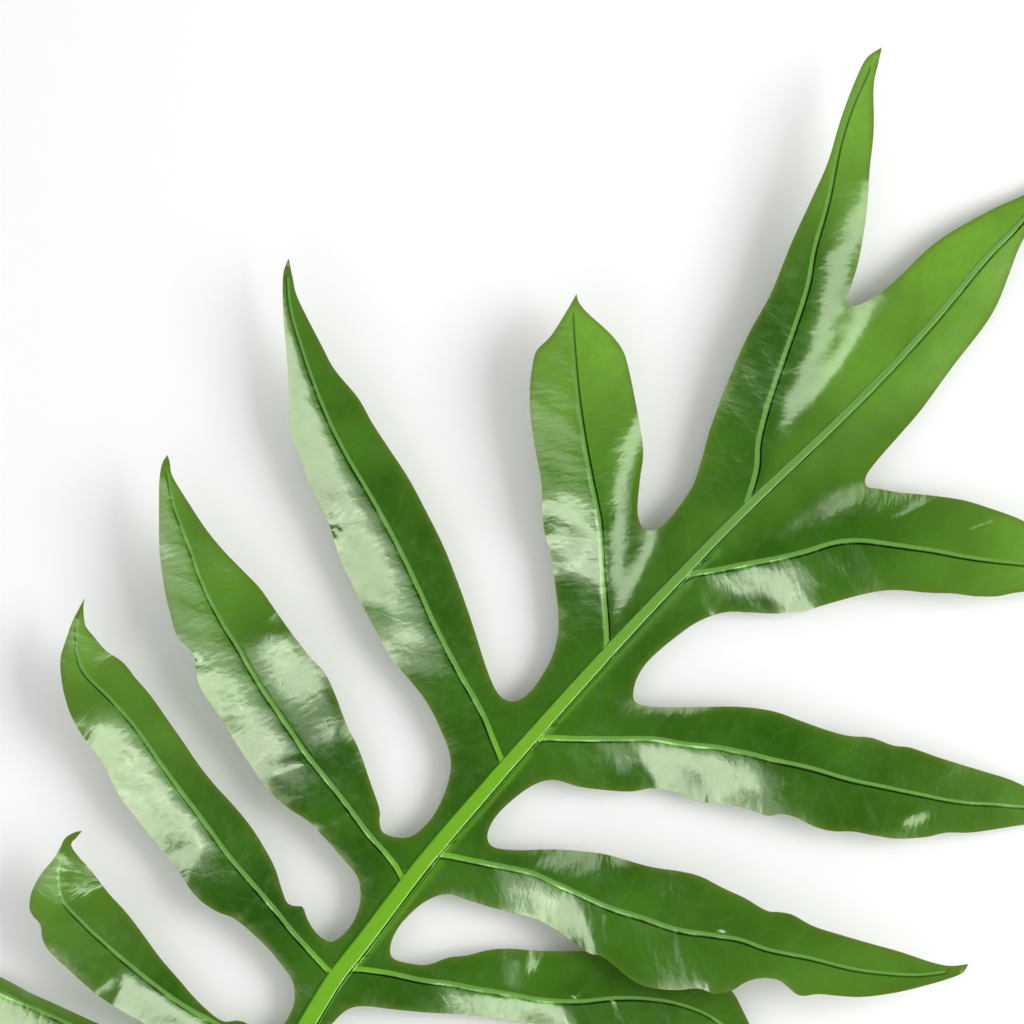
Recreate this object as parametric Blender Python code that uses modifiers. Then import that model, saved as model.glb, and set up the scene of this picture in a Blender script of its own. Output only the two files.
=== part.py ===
# A glossy, deeply lobed leaf on its stalk, lying face up with its middle rib low over the surface
# and most of its lobes lifted towards their tips.
# All sizes in the tables are millimetres in the leaf's own plan: +Y runs along the middle rib
# towards the tip, +X is its right side. The finished mesh is in metres.
import bpy
import numpy as np
from mathutils import Vector
from mathutils.geometry import delaunay_2d_cdt

for old in list(bpy.data.objects):
    bpy.data.objects.remove(old, do_unlink=True)

MM = 0.001

# Thickness of the blade and of its ribs
BLADE_THICKNESS = 0.9
THICKEST = 4.4
ABOVE_SHEET = 0.3
LOWEST_SHEET = 0.45
LOBE_RIB_HALF_WIDTH = (1.0, 0.5)
LOBE_RIB_THICKNESS = (2.2, 1.1)

# How far apart the points of the mesh stand
CURVE_STEPS = 12
MARGIN_STEP = 4.6
MARGIN_SHORTEST = 1.5
MARGIN_TURN = 0.42
LAST_STEP = 0.6
VEIN_STEP = 4.6
LONGEST_RIB_EDGE = 9.2
FILL_STEP = 5.6
FILL_CLEAR = 0.55
CLOSEST = 0.8
SAME_POINT = 0.05
SHARP_ANGLE = 0.9

# The bare stalk below the wings of blade, and the rows of points along the ribs
STALK_START_Y = -142.0
STALK_SIDE = 0.93
STALK_SIDE_STEP = 6
MIDDLE_RIB_ROWS = (-0.55, 0.0, 0.55)
LOBE_RIB_ROWS = (-1.0, 0.0, 1.0)

# How the blade falls away from each vein, and how its margin waves
SLOPE = 0.22
CREST_ROUNDING = 1.0
WAVE_LENGTH = 27.0
WAVE_AT = 11.0
WAVE_MOST = 1.3
WAVE_TURN_EACH_LOBE = 1.7
WAVE_TURN_LEFT_SIDE = 2.1
BLEND_NEAR = 12.0
BLEND_FAR = 30.0
BLEND_SOFTNESS = 0.8
BLEND_POWER = 4

# The lobe right_4 lies over right_3. In the flat pattern it is swung this far aside, and its
# lower half reaches further from its vein than the halfway line to the next vein.
SWUNG_LOBE = "right_4"
SWING_START = 20.0
SWING_LENGTH = 45.0
SWING = 13.5
SWUNG_REACH = 1.22

# The middle rib from the stalk's cut end to the leaf's tip: x, y
MIDDLE_RIB = [
    (38.6, -213), (37, -203), (35.4, -192), (31.6, -170), (27.3, -150), (23.6, -135), (20, -122),
    (17.3, -112), (14.6, -102), (12, -92), (9.8, -82), (7.9, -72.5), (6.6, -66), (5.6, -60),
    (4.9, -50), (4, -40), (3.2, -30), (2.8, -20), (2.6, -10), (2.4, 0), (2.3, 20), (2.4, 38),
    (2.9, 58), (3.4, 72), (4.4, 86), (5.8, 104), (6.6, 120), (6.7, 137), (6.1, 153), (6.5, 163),
    (6.4, 174), (5.8, 183),
]
# y, height of the middle rib over the surface that the leaf lies on
RIB_HEIGHT = [
    (-213, 2.5), (-206, 2.5), (-196, 2.8), (-170, 4.2), (-130, 5.6), (-80, 6.0), (-20, 6.0),
    (40, 6.2), (90, 7.0), (130, 7.4), (160, 5.6), (180, 2.4), (188, 0.6),
]
# y, half the width of the middle rib and stalk
RIB_RADIUS = [
    (-213, 2.2), (-140, 2.15), (-60, 2.0), (0, 1.7), (60, 1.3), (120, 0.9), (188, 0.45),
]

# Each lobe in turn, clockwise from the stalk: its vein from the middle rib outwards, its margin
# from the bay before it to the tip and from the tip to the next bay, the height of its vein
# halfway and at the tip, and how strongly its margin waves.
LOBES = {
    "left_1": {
        "vein": [(15.2, -104.6), (6, -103), (-4, -102.6), (-14, -103.8), (-24, -105.8),
                 (-32.8, -108.2), (-40, -110.6), (-46.4, -112.7), (-53, -115.2), (-57.6, -117)],
        "outward": [(21.6, -138), (20.2, -131), (18.4, -124), (16, -118.4), (12, -113.8),
                    (7, -111.6), (0, -110.9), (-9, -111.7), (-19, -113.9), (-29, -116.9),
                    (-39, -119.9), (-47, -121.3), (-53, -121.4), (-58, -120.3)],
        "tip": (-61.5, -118.6),
        "inward": [(-59.2, -115), (-54.5, -112), (-48.8, -109.9), (-42, -108.1), (-36, -106.1),
                   (-30, -104.2), (-24, -102.3), (-17, -100.6), (-9, -99.6), (-1, -99.5),
                   (4.2, -99.9), (7.4, -98.2)],
        "heights": (6.5, 0.5), "wave": 0.5,
    },
    "left_2": {
        "vein": [(10.8, -87), (6, -86.2), (1, -85.5), (-4, -85.6), (-8.4, -86.1), (-14, -87.4),
                 (-20, -88.2), (-28, -88.7), (-36, -88.8), (-44, -88.6), (-50.8, -87.6),
                 (-55.2, -83.6), (-57.4, -79.6)],
        "outward": [(7.6, -95.4), (4.2, -93.3), (-1, -92.8), (-7, -93.4), (-13, -94.8),
                    (-20.4, -96.4), (-26, -97.6), (-32, -98.2), (-38, -98.2), (-44.8, -98),
                    (-48, -96.9), (-50.4, -94.9), (-53, -94.5), (-54.8, -93.6), (-56.8, -90.4),
                    (-57.8, -86), (-57.9, -82.4), (-58.5, -79.2), (-59.1, -77), (-58.5, -74.9)],
        "tip": (-57.4, -73.3),
        "inward": [(-57.3, -75.4), (-57.2, -77.2), (-54.6, -78), (-50, -78.6), (-44, -79.8),
                   (-38, -80.4), (-32, -81.6), (-26, -82.9), (-20, -83.7), (-14, -84.5),
                   (-8.8, -84.6), (-6, -84), (-4, -81.9), (-1.6, -81), (0.8, -82), (3, -81.4)],
        "heights": (9.0, 14.0), "wave": 0.7,
    },
    "left_3": {
        "vein": [(6, -61), (0, -60.4), (-8, -59.6), (-14, -58.6), (-22, -57.5), (-30, -56.4),
                 (-40, -54.2), (-48, -52.6), (-56, -50.8), (-64, -48.9), (-72, -47.9),
                 (-80, -47.4), (-84, -45.4), (-87.6, -41.6), (-89.4, -38.8)],
        "outward": [(4.2, -78.4), (3.8, -74), (2.4, -70.4), (-0.4, -67.6), (-4, -66.5),
                    (-10, -65.6), (-16, -65.4), (-20, -65.7), (-23.2, -66.9), (-27.2, -67.6),
                    (-31.2, -67.3), (-35, -66.2), (-40, -65.4), (-46, -64.4), (-52, -63.3),
                    (-56, -62.6), (-60, -61.1), (-64, -59.4), (-70.4, -58.1), (-74.8, -56.7),
                    (-78.8, -54.7), (-82.8, -51.8), (-86.2, -48.4), (-88.2, -44.2),
                    (-89.8, -40.2)],
        "tip": (-91.1, -35),
        "inward": [(-90, -36.6), (-88.4, -38.2), (-86.8, -39.4), (-84, -39.9), (-80, -40.4),
                   (-75.4, -39.9), (-71.2, -40.6), (-66, -41.3), (-60, -42.7), (-54, -44.1),
                   (-48, -45.6), (-42, -46.6), (-36, -47.2), (-30, -48.2), (-24, -50),
                   (-20, -51.6), (-16, -54), (-13.2, -55.3), (-11.4, -54.6), (-10.2, -53.7),
                   (-8.2, -54.7), (-5.6, -55.7), (-2.4, -56)],
        "heights": (10.0, 15.0), "wave": 0.6,
    },
    "left_4": {
        "vein": [(3.6, -35.4), (-2, -33.4), (-10, -32.4), (-18, -30.8), (-26, -29.4),
                 (-32, -28.4), (-40, -26.4), (-50, -23.8), (-58, -21.2), (-66, -18.8),
                 (-74, -15.6), (-82, -11.2), (-90, -7), (-95.6, -2.8)],
        "outward": [(0, -54.8), (0.6, -50.4), (-0.6, -46), (-2.8, -42.8), (-6, -40.6),
                    (-12, -39.7), (-18, -39), (-22, -38.8), (-28, -39.7), (-34, -39.5),
                    (-40, -38), (-46, -36.4), (-52, -34.6), (-58, -33.2), (-61.2, -31.6),
                    (-64.2, -28.9), (-66, -28.1), (-70.4, -27.7), (-74.4, -25.4), (-80, -21.4),
                    (-86, -16.2), (-92, -9.6), (-96, -5), (-98.2, -1.6)],
        "tip": (-98.6, 0.6),
        "inward": [(-97, -0.4), (-94.6, -2.2), (-88, -4.2), (-82, -5.8), (-76, -6.8),
                   (-69, -7.3), (-64, -7.7), (-58, -9.1), (-52, -10.4), (-46, -11.5),
                   (-41, -12), (-36, -14.1), (-30, -17.2), (-24, -19.7), (-18, -23),
                   (-12, -26.4), (-10.2, -28.4), (-8, -29.7)],
        "heights": (10.5, 16.0), "wave": 0.5,
    },
    "left_5": {
        "vein": [(2.4, -1.6), (-4, 1.6), (-10, 4.4), (-20, 7.8), (-30, 11.6), (-40, 16),
                 (-50, 20), (-60, 23.5), (-68, 26), (-76, 29), (-84, 32.8), (-92, 37.2),
                 (-100, 42.2), (-105, 46.8)],
        "outward": [(-5, -28.5), (-2.8, -26.2), (-2.1, -22.4), (-2.4, -18.4), (-4, -13.4),
                    (-6.2, -9.4), (-9, -6.7), (-14, -4.2), (-20, -1.9), (-26, -0.8), (-32, 0),
                    (-38, 2), (-44, 4.2), (-50, 6.6), (-56, 9.2), (-60, 11.6), (-64, 13.8),
                    (-70.4, 16.2), (-77.6, 20), (-83.2, 23.2), (-88, 28.4), (-93.2, 33.6),
                    (-99.2, 39.2), (-104, 44.2), (-106.6, 47.4)],
        "tip": (-107.8, 50.4),
        "inward": [(-104, 47.6), (-101.2, 45.6), (-96, 43.4), (-89.6, 41), (-84, 39),
                   (-76, 37.8), (-70, 35.8), (-64, 34.2), (-56, 32.1), (-48, 29.2), (-40, 26),
                   (-32, 22), (-24, 17.6), (-17.6, 13.8), (-12.8, 11.2), (-10, 10.1),
                   (-7.6, 10)],
        "heights": (10.5, 14.0), "wave": 0.6,
    },
    "left_6": {
        "vein": [(2.4, 33), (-2, 37.6), (-10, 45.2), (-18, 53), (-26, 59), (-32, 63.6),
                 (-40, 70.2), (-48.4, 78), (-53, 82.6)],
        "outward": [(-5.4, 11.6), (-4.6, 15), (-5, 19.2), (-6.2, 24), (-8.6, 28.6), (-12, 32.4),
                    (-16, 36), (-21.2, 40.4), (-26, 43.4), (-30, 47.2), (-34.4, 51.6),
                    (-40, 55.8), (-45.2, 60.2), (-49.2, 64.4), (-52.6, 69.2), (-53.8, 72),
                    (-53.6, 76), (-54.4, 81.2)],
        "tip": (-55.6, 86.8),
        "inward": [(-54, 85.8), (-51, 85.3), (-44.8, 85.3), (-40, 84.5), (-36, 82.2),
                   (-30, 77.8), (-22, 71.4), (-18, 66), (-14.6, 61.4), (-12.2, 59.2),
                   (-9.8, 58.5)],
        "heights": (12.5, 16.0), "wave": 0.4,
    },
    "left_7": {
        "vein": [(3.7, 77), (0, 84.8), (-4, 90), (-8, 97.6), (-12, 106.8), (-18.2, 121),
                 (-23.2, 129.2), (-28, 138.8), (-34.4, 149.6), (-38.2, 158), (-40.8, 166)],
        "outward": [(-7.9, 60.2), (-7.3, 64), (-8.2, 72), (-10.6, 78), (-14, 84.8), (-18, 94.8),
                    (-21.6, 105.6), (-24, 115.6), (-28, 126.6), (-31.2, 136.8), (-34, 145.2),
                    (-38.2, 154), (-41.5, 162.4), (-42.9, 167.6)],
        "tip": (-42, 171.6),
        "inward": [(-40.2, 168.4), (-37.6, 164), (-31.2, 157), (-26, 150), (-20, 142.4),
                   (-14.8, 134.4), (-12.4, 129.6), (-11.2, 126.4), (-9.8, 125.3)],
        "heights": (12.5, 19.0), "wave": 0.5,
    },
    "tip": {
        "vein": [],
        "outward": [(-8.2, 126.2), (-6.4, 130.6), (-5.4, 136.8), (-4.8, 146), (-3.4, 152.6),
                    (0, 162.4), (2.8, 168.8), (4.4, 173.6), (5.2, 179)],
        "tip": (5.4, 188),
        "inward": [(6.8, 181), (7.9, 173), (8.7, 166), (9.9, 160.2), (12.2, 154.2),
                   (14.6, 147.8), (15.8, 141.8), (16.6, 131), (17.8, 119.2), (18, 112),
                   (18.1, 104), (18.6, 99.8), (20.2, 98.2)],
        "heights": (0, 0), "wave": 0.5,
    },
    "right_6": {
        "vein": [(3, 55), (4.8, 59), (7.6, 62.4), (10.8, 66.8), (14.8, 72), (18.8, 77.6),
                 (23.2, 84.8), (27.6, 89.2), (34, 93.6), (40, 97.6), (46, 101.2), (52, 105.2),
                 (57, 108.8), (63, 112.6), (69, 116.6), (74, 120)],
        "outward": [(22.4, 99.6), (26, 101.8), (32, 106.2), (38, 110.2), (44, 113), (50, 115.4),
                    (56, 116.8), (63, 118.6), (71, 120.9)],
        "tip": (78.5, 123),
        "inward": [(74, 118.4), (68, 112), (64, 107.2), (60, 102.6), (57.6, 99.4), (54, 96.2),
                   (50, 93.4), (46, 90), (40, 85.4), (36, 80.8), (31.2, 73.4), (28, 68.2),
                   (24, 64), (19.4, 60.2), (15.6, 56.8), (12.6, 51.4), (11, 44.6), (10.2, 38),
                   (10.6, 34), (11.9, 30.8), (13.8, 28.9)],
        "heights": (8.5, 9.0), "wave": 0.6,
    },
    "right_5": {
        "vein": [(2.4, 7), (4.8, 10.2), (10, 14.6), (16.8, 20.8), (22.4, 25.8), (28, 29.4),
                 (34, 33.8), (40, 37.4), (46, 40.6), (52, 44), (60, 47.8), (66, 51.2),
                 (74, 55.8), (82, 60.6), (90, 66.8), (97, 71.8), (102, 75.4)],
        "outward": [(16.4, 29.8), (20.4, 33), (26, 38.2), (32, 43.6), (38, 47.7), (44, 50.2),
                    (50, 52.7), (54, 54.8), (58, 57.8), (62.8, 59.8), (66, 62), (72.4, 64.7),
                    (80, 68.2), (86, 71), (90, 72.4), (96, 73.8), (101, 75.9)],
        "tip": (106, 78.8),
        "inward": [(103.4, 74.8), (99.6, 70.2), (95.6, 65.6), (92, 61.2), (88, 56.6),
                   (84.4, 53.4), (81.6, 49.6), (77.2, 45.2), (72.8, 42.2), (68.8, 39.8),
                   (65.6, 37), (62, 35), (57.2, 33.6), (54.4, 32), (52.6, 29.8), (49.6, 28.5),
                   (46, 26.8), (42.4, 24.4), (39.2, 21.9), (33.2, 19.6), (29.6, 17.2),
                   (26.4, 13.4), (22, 9.9), (17.2, 6.6), (12.4, 4.2), (9.8, 0.6), (8.4, -5.4),
                   (8.2, -10.8), (9.4, -14.6), (11.6, -15.9)],
        "heights": (8.5, 0.5), "wave": 0.9,
    },
    "right_4": {
        "vein": [(2.9, -27), (5.2, -24.2), (11.2, -20.6), (16.8, -17.2), (22.4, -14),
                 (28, -12.2), (34, -10.2), (40, -8.2), (46, -5.4), (54, -1.9), (60, 2),
                 (66, 5.8), (72, 8.3), (80, 13), (88, 17.2), (94, 21.2), (100, 26), (104, 30.4)],
        "outward": [(14.6, -14.4), (20, -9.6), (26, -4.4), (32, -0.2), (40, 3.8), (46, 7.7),
                    (50, 9.9), (54, 11), (60, 12.8), (66, 14.1), (68.4, 15.8), (71, 17.3),
                    (76, 18.5), (82, 21.2), (88, 24.1), (94, 27.1), (100, 29.7), (104, 32)],
        "tip": (106.9, 35.1),
        "inward": [(107.2, 32.8), (105.8, 29.8), (103.2, 25.6), (99.2, 19.8), (94.4, 14.2),
                   (90, 10.6), (86.8, 8.2), (84, 5.2), (81.2, 4.8), (78, 4.5), (74.8, 2),
                   (73.1, -0.8), (72.1, -4), (69.8, -7), (66.4, -8.6), (62.8, -12.4),
                   (58, -15.8), (54.4, -17), (50, -17.2), (46, -17.6), (43.2, -19), (38, -19.7),
                   (32, -20.6), (28, -22.1), (23, -24.9), (16, -28.2), (11.6, -30.3),
                   (9.2, -34.6), (8.4, -40.4), (9, -45), (10.6, -48), (12.6, -48.8)],
        "heights": (11.0, 12.0), "wave": 1.0,
    },
    "right_3": {
        "vein": [(5.4, -58.6), (7.6, -55.8), (14, -51.4), (20, -48), (24.8, -44.6),
                 (30.4, -41.2), (36, -37.6), (42.4, -33.6), (48.8, -28.4), (54, -22.8),
                 (59, -18.4), (65, -14.4), (72, -11.6), (79, -10.9), (85, -11.7)],
        "outward": [(16.4, -46.8), (19, -44.6), (21.2, -40.6), (24, -37.4), (26.4, -33.8),
                    (30, -30), (36, -25.4), (42, -20), (47, -16), (52, -12.4), (57, -9),
                    (62, -6.2), (67, -4.5), (72.4, -4.2), (78, -6.1), (83, -8.4)],
        "tip": (89.5, -12.4),
        "inward": [(85.6, -14.4), (80, -17.2), (74, -20.6), (68, -24.4), (62, -28.2), (56, -32),
                   (50, -35.8), (44, -39.6), (38, -43.5), (32, -47.8), (26, -52.6), (20, -57),
                   (15.2, -60.4), (12.6, -63.2), (11.9, -67), (12.2, -71.5), (13.4, -75),
                   (15.4, -76.3)],
        "heights": (5.0, 4.5), "wave": 0.7,
    },
    "right_2": {
        "vein": [(9.8, -84.4), (12, -82), (18, -77.6), (25, -73), (33, -67.8), (41, -62),
                 (49, -56.4), (57, -51), (65, -46.4), (72, -43.2)],
        "outward": [(18.4, -75), (24, -70), (30, -64.8), (36, -60), (43, -55), (51, -49.8),
                    (59, -45.4), (67, -42.4), (73, -41.4)],
        "tip": (78.5, -40.8),
        "inward": [(74, -45), (68, -50.6), (61, -57), (53.5, -63.4), (46, -69.8), (38, -76.4),
                   (31, -81.8), (25, -86), (20.6, -89.4), (18.6, -93), (19, -96.2),
                   (21.2, -97.4)],
        "heights": (7.0, 5.0), "wave": 0.6,
    },
    "right_1": {
        "vein": [(14.6, -105.6), (17.4, -103), (23, -99.4), (29, -95.6), (35.6, -90.6),
                 (42, -85.8), (48, -81.4), (53.6, -78)],
        "outward": [(25, -95.2), (31, -90.4), (37.4, -85.4), (44, -80.8), (51, -77.6)],
        "tip": (58.5, -76.2),
        "inward": [(54.4, -81), (48.6, -87.2), (42, -93.6), (35, -99.8), (29.8, -105),
                   (26.6, -109.8), (25, -115.4), (24.6, -122), (25.2, -130), (26.8, -138)],
        "heights": (6.5, 5.0), "wave": 0.5,
    },
}


def curve_through(points):
    """A smooth line through hand-placed points, finely divided."""
    points = np.array(points, dtype=float)
    padded = np.vstack([2 * points[0] - points[1], points, 2 * points[-1] - points[-2]])
    line = []
    for before, start, end, after in zip(padded, padded[1:], padded[2:], padded[3:]):
        for step in range(CURVE_STEPS):
            t = step / CURVE_STEPS
            line.append(0.5 * (2 * start + (end - before) * t
                               + (2 * before - 5 * start + 4 * end - after) * t ** 2
                               + (3 * start - before - 3 * end + after) * t ** 3))
    line.append(points[-1])
    return np.array(line)


def thin_out(line, longest, shortest, most_turn):
    """Keep the points of a fine line that its shape needs: fewer where it runs straight."""
    kept = [line[0]]
    length = 0.0
    turn = 0.0
    for before, here, after in zip(line, line[1:], line[2:]):
        into = here - before
        out_of = after - here
        length += np.linalg.norm(into)
        turn += abs(np.arctan2(into[0] * out_of[1] - into[1] * out_of[0], into @ out_of))
        if length >= longest or (turn >= most_turn and length >= shortest):
            kept.append(here)
            length = 0.0
            turn = 0.0
    if np.linalg.norm(kept[-1] - line[-1]) < shortest * LAST_STEP and len(kept) > 1:
        kept.pop()
    kept.append(line[-1])
    return np.array(kept)


def nearest_on(points, line):
    """Length along the line and signed distance (left positive) of each point's nearest place."""
    start = line[:-1]
    step = np.diff(line, axis=0)
    lengths = np.linalg.norm(step, axis=1)
    before = np.concatenate([[0.0], np.cumsum(lengths)[:-1]])
    offset = points[:, None, :] - start[None, :, :]
    part = np.clip((offset * step).sum(2) / lengths ** 2, 0.0, 1.0)
    gap = offset - part[..., None] * step
    far = np.linalg.norm(gap, axis=2)
    best = far.argmin(axis=1)
    row = np.arange(len(points))
    side = step[best, 0] * offset[row, best, 1] - step[best, 1] * offset[row, best, 0]
    along = before[best] + part[row, best] * lengths[best]
    return along, np.where(side >= 0, 1, -1) * far[row, best]


def ramp(values, low, high):
    """0 below low, 1 above high and a soft rise between them."""
    t = np.clip((values - low) / (high - low), 0.0, 1.0)
    return t * t * (3 - 2 * t)


def swing_of(points):
    """How far each point of the swung lobe moves aside in the flat pattern."""
    vein = np.array(LOBES[SWUNG_LOBE]["vein"][1], dtype=float)
    axis = np.array(LOBES[SWUNG_LOBE]["tip"], dtype=float) - vein
    axis /= np.linalg.norm(axis)
    aside = np.array([-axis[1], axis[0]])
    amount = SWING * ramp((points - vein) @ axis, SWING_START, SWING_START + SWING_LENGTH)
    return amount[:, None] * aside


def flat_pattern():
    """The margin and the veins as fine lines, with no lobe over another."""
    runs = []
    run = []
    veins = {"tip": curve_through(MIDDLE_RIB)}
    for name, lobe in LOBES.items():
        outward = np.array(lobe["outward"], float)
        inward = np.array(lobe["inward"], float)
        tip = np.array([lobe["tip"]], float)
        vein = curve_through(lobe["vein"]) if lobe["vein"] else None
        if name == SWUNG_LOBE:
            outward += swing_of(outward)
            inward += swing_of(inward)
            tip += swing_of(tip)
            vein += swing_of(vein)
        run.extend([*outward, tip[0]])
        runs.append(run)
        run = [tip[0], *inward]
        if vein is not None:
            veins[name] = vein
    runs.append(run)
    return runs, veins


def stalk_sides(veins):
    """The two long sides of the stalk, from where the wings of blade end to the cut."""
    rib = veins["tip"]
    along = np.gradient(rib, axis=0)
    along /= np.linalg.norm(along, axis=1)[:, None]
    across = np.stack([along[:, 1], -along[:, 0]], 1)
    half = STALK_SIDE * radius_at(rib[:, 1])[:, None]
    stalk = rib[:, 1] < STALK_START_Y
    right = (rib + across * half)[stalk]
    left = (rib - across * half)[stalk]
    return right[::-1], left


def radius_at(y):
    """Half the width of the middle rib at each y."""
    table = curve_through(RIB_RADIUS)
    return np.interp(y, table[:, 0], table[:, 1])


def rib_height_at(y):
    """Height of the middle rib at each y."""
    table = curve_through(RIB_HEIGHT)
    return np.interp(y, table[:, 0], table[:, 1])


def inside(points, polygon):
    """Which points lie within a closed outline."""
    x = points[:, 0]
    y = points[:, 1]
    odd = np.zeros(len(points), dtype=bool)
    for (x0, y0), (x1, y1) in zip(polygon, np.roll(polygon, -1, axis=0)):
        crosses = (y0 > y) != (y1 > y)
        if y0 != y1:
            odd ^= crosses & (x < x0 + (y - y0) * (x1 - x0) / (y1 - y0))
    return odd


def blade_form(points, veins):
    """Height of the sheet and thickness of the leaf at each point of the flat pattern."""
    reach = {name: nearest_on(points, line) for name, line in veins.items()}
    names = list(veins)
    distance = np.array([np.abs(reach[name][1]) for name in names])
    own = distance.copy()
    below = reach[SWUNG_LOBE][1] < 0
    own[names.index(SWUNG_LOBE), below] /= SWUNG_REACH
    owner = own.argmin(axis=0)
    open_blend = 1 - ramp(distance[names.index("tip")], BLEND_NEAR, BLEND_FAR)
    height = np.zeros(len(points))
    total = np.zeros(len(points))
    thickness = np.full(len(points), BLADE_THICKNESS)
    for index, name in enumerate(names):
        along, side = reach[name]
        away = distance[index]
        lobe = LOBES[name]
        if name == "tip":
            crest = rib_height_at(points[:, 1])
            half_width = radius_at(points[:, 1])
            rib = 2 * np.sqrt(np.clip(half_width ** 2 - away ** 2, 0, None))
        else:
            length = np.linalg.norm(np.diff(veins[name], axis=0), axis=1).sum()
            t = along / length
            root = rib_height_at(veins[name][0][1])
            middle, end = lobe["heights"]
            pull = 2 * middle - 0.5 * (root + end)
            crest = (1 - t) ** 2 * root + 2 * t * (1 - t) * pull + t ** 2 * end
            half_width = np.interp(t, (0, 1), LOBE_RIB_HALF_WIDTH)
            rib = np.interp(t, (0, 1), LOBE_RIB_THICKNESS) * (1 - (away / half_width) ** 2)
        fall = SLOPE * (np.hypot(away, CREST_ROUNDING) - CREST_ROUNDING)
        phase = 2 * np.pi * along / WAVE_LENGTH + index * WAVE_TURN_EACH_LOBE
        phase += (side > 0) * WAVE_TURN_LEFT_SIDE
        wave = lobe["wave"] * np.minimum(away / WAVE_AT, WAVE_MOST) ** 2 * np.sin(phase)
        share = np.where(owner == index, 1.0, open_blend)
        weight = share / (away + BLEND_SOFTNESS) ** BLEND_POWER
        height += weight * (crest - fall + wave)
        total += weight
        thickness = np.maximum(thickness, rib)
    height = np.maximum(height / total, LOWEST_SHEET)
    return height, thickness, owner == names.index(SWUNG_LOBE)


def rib_rows(veins):
    """Lines of points along each vein: its crest and both sides of its rib."""
    rows = []
    for name, line in veins.items():
        along = np.gradient(line, axis=0)
        along /= np.linalg.norm(along, axis=1)[:, None]
        across = np.stack([along[:, 1], -along[:, 0]], 1)
        if name == "tip":
            half = radius_at(line[:, 1])
            offsets = MIDDLE_RIB_ROWS
        else:
            t = np.linspace(0, 1, len(line))
            half = np.interp(t, (0, 1), LOBE_RIB_HALF_WIDTH)
            offsets = LOBE_RIB_ROWS
        for offset in offsets:
            row = line + across * (half * offset)[:, None]
            rows.append(thin_out(row, VEIN_STEP, MARGIN_SHORTEST, MARGIN_TURN))
    return rows


def leaf_sheet():
    """The open sheet of the leaf at its height over the surface, with its thickness as weights."""
    runs, veins = flat_pattern()
    right_side, left_side = stalk_sides(veins)
    runs[0] = [*left_side[::STALK_SIDE_STEP], *runs[0]]
    runs[-1] = [*runs[-1], *right_side[::STALK_SIDE_STEP]]
    margin = []
    for run in runs:
        line = thin_out(curve_through(run), MARGIN_STEP, MARGIN_SHORTEST, MARGIN_TURN)
        margin.extend(line[:-1] if run is not runs[-1] else line)
    margin = np.array(margin)
    rows = rib_rows(veins)

    low = margin.min(axis=0)
    high = margin.max(axis=0)
    fill = []
    for row, y in enumerate(np.arange(low[1], high[1], FILL_STEP * np.sqrt(3) / 2)):
        xs = np.arange(low[0] + (row % 2) * FILL_STEP / 2, high[0], FILL_STEP)
        fill.extend((x, y) for x in xs)
    fill = np.array(fill)
    fill = fill[inside(fill, margin)]
    closed = np.vstack([margin, margin[:1]])
    clear = np.abs(nearest_on(fill, closed)[1]) > FILL_STEP * FILL_CLEAR
    for row in rows:
        clear &= np.abs(nearest_on(fill, row)[1]) > FILL_STEP * FILL_CLEAR
    fill = fill[clear]

    points = [*margin]
    edges = []
    for index, row in enumerate(rows):
        first = len(points)
        good = inside(row, margin) & (np.abs(nearest_on(row, closed)[1]) > CLOSEST)
        for other in rows[:index - index % len(LOBE_RIB_ROWS)]:
            good &= np.abs(nearest_on(row, other)[1]) > CLOSEST
        if index >= len(MIDDLE_RIB_ROWS):
            rib_gap = np.abs(nearest_on(row, veins["tip"])[1]) - radius_at(row[:, 1])
            good &= rib_gap > CLOSEST
        keep = row[good]
        points.extend(keep)
        edges.extend((first + i, first + i + 1) for i in range(len(keep) - 1)
                     if np.linalg.norm(keep[i] - keep[i + 1]) < LONGEST_RIB_EDGE)
    points.extend(fill)
    flat = [Vector((float(x), float(y))) for x, y in points]
    outline = [list(range(len(margin)))]
    verts, _, faces, *_ = delaunay_2d_cdt(flat, edges, outline, 1, SAME_POINT)
    plan = np.array([(v.x, v.y) for v in verts])
    height, thickness, swung = blade_form(plan, veins)
    real = plan - swing_of(plan) * swung[:, None]

    mesh = bpy.data.meshes.new("leaf_sheet")
    mesh.from_pydata([(x * MM, y * MM, z * MM) for (x, y), z in zip(real, height)], [], faces)
    if sum(face.normal.z for face in mesh.polygons) < 0:
        mesh.flip_normals()
    sheet = bpy.data.objects.new("leaf_sheet", mesh)
    weights = sheet.vertex_groups.new(name="thickness")
    for index, value in enumerate(thickness):
        weights.add([index], float(value) / THICKEST, "REPLACE")
    return sheet


def build_leaf(parts):
    """The sheet made solid, pressed flat where it rests, centred over its box."""
    sheet = leaf_sheet()
    parts.objects.link(sheet)
    solid = sheet.modifiers.new("thickness", "SOLIDIFY")
    solid.thickness = THICKEST * MM
    solid.offset = 2 * ABOVE_SHEET - 1
    solid.vertex_group = "thickness"
    triangles = sheet.modifiers.new("triangles", "TRIANGULATE")
    triangles.keep_custom_normals = False
    graph = bpy.context.evaluated_depsgraph_get()
    mesh = bpy.data.meshes.new_from_object(sheet.evaluated_get(graph))
    bpy.data.objects.remove(sheet, do_unlink=True)
    for vertex in mesh.vertices:
        vertex.co.z = max(vertex.co.z, 0.0)
    low = np.min([v.co for v in mesh.vertices], axis=0)
    high = np.max([v.co for v in mesh.vertices], axis=0)
    shift = Vector((-(low[0] + high[0]) / 2, -(low[1] + high[1]) / 2, 0))
    for vertex in mesh.vertices:
        vertex.co += shift
    mesh.name = "leaf"
    mesh.shade_smooth()
    mesh.set_sharp_from_angle(angle=SHARP_ANGLE)
    leaf = bpy.data.objects.new("leaf", mesh)
    parts.objects.link(leaf)
    return leaf


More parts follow.
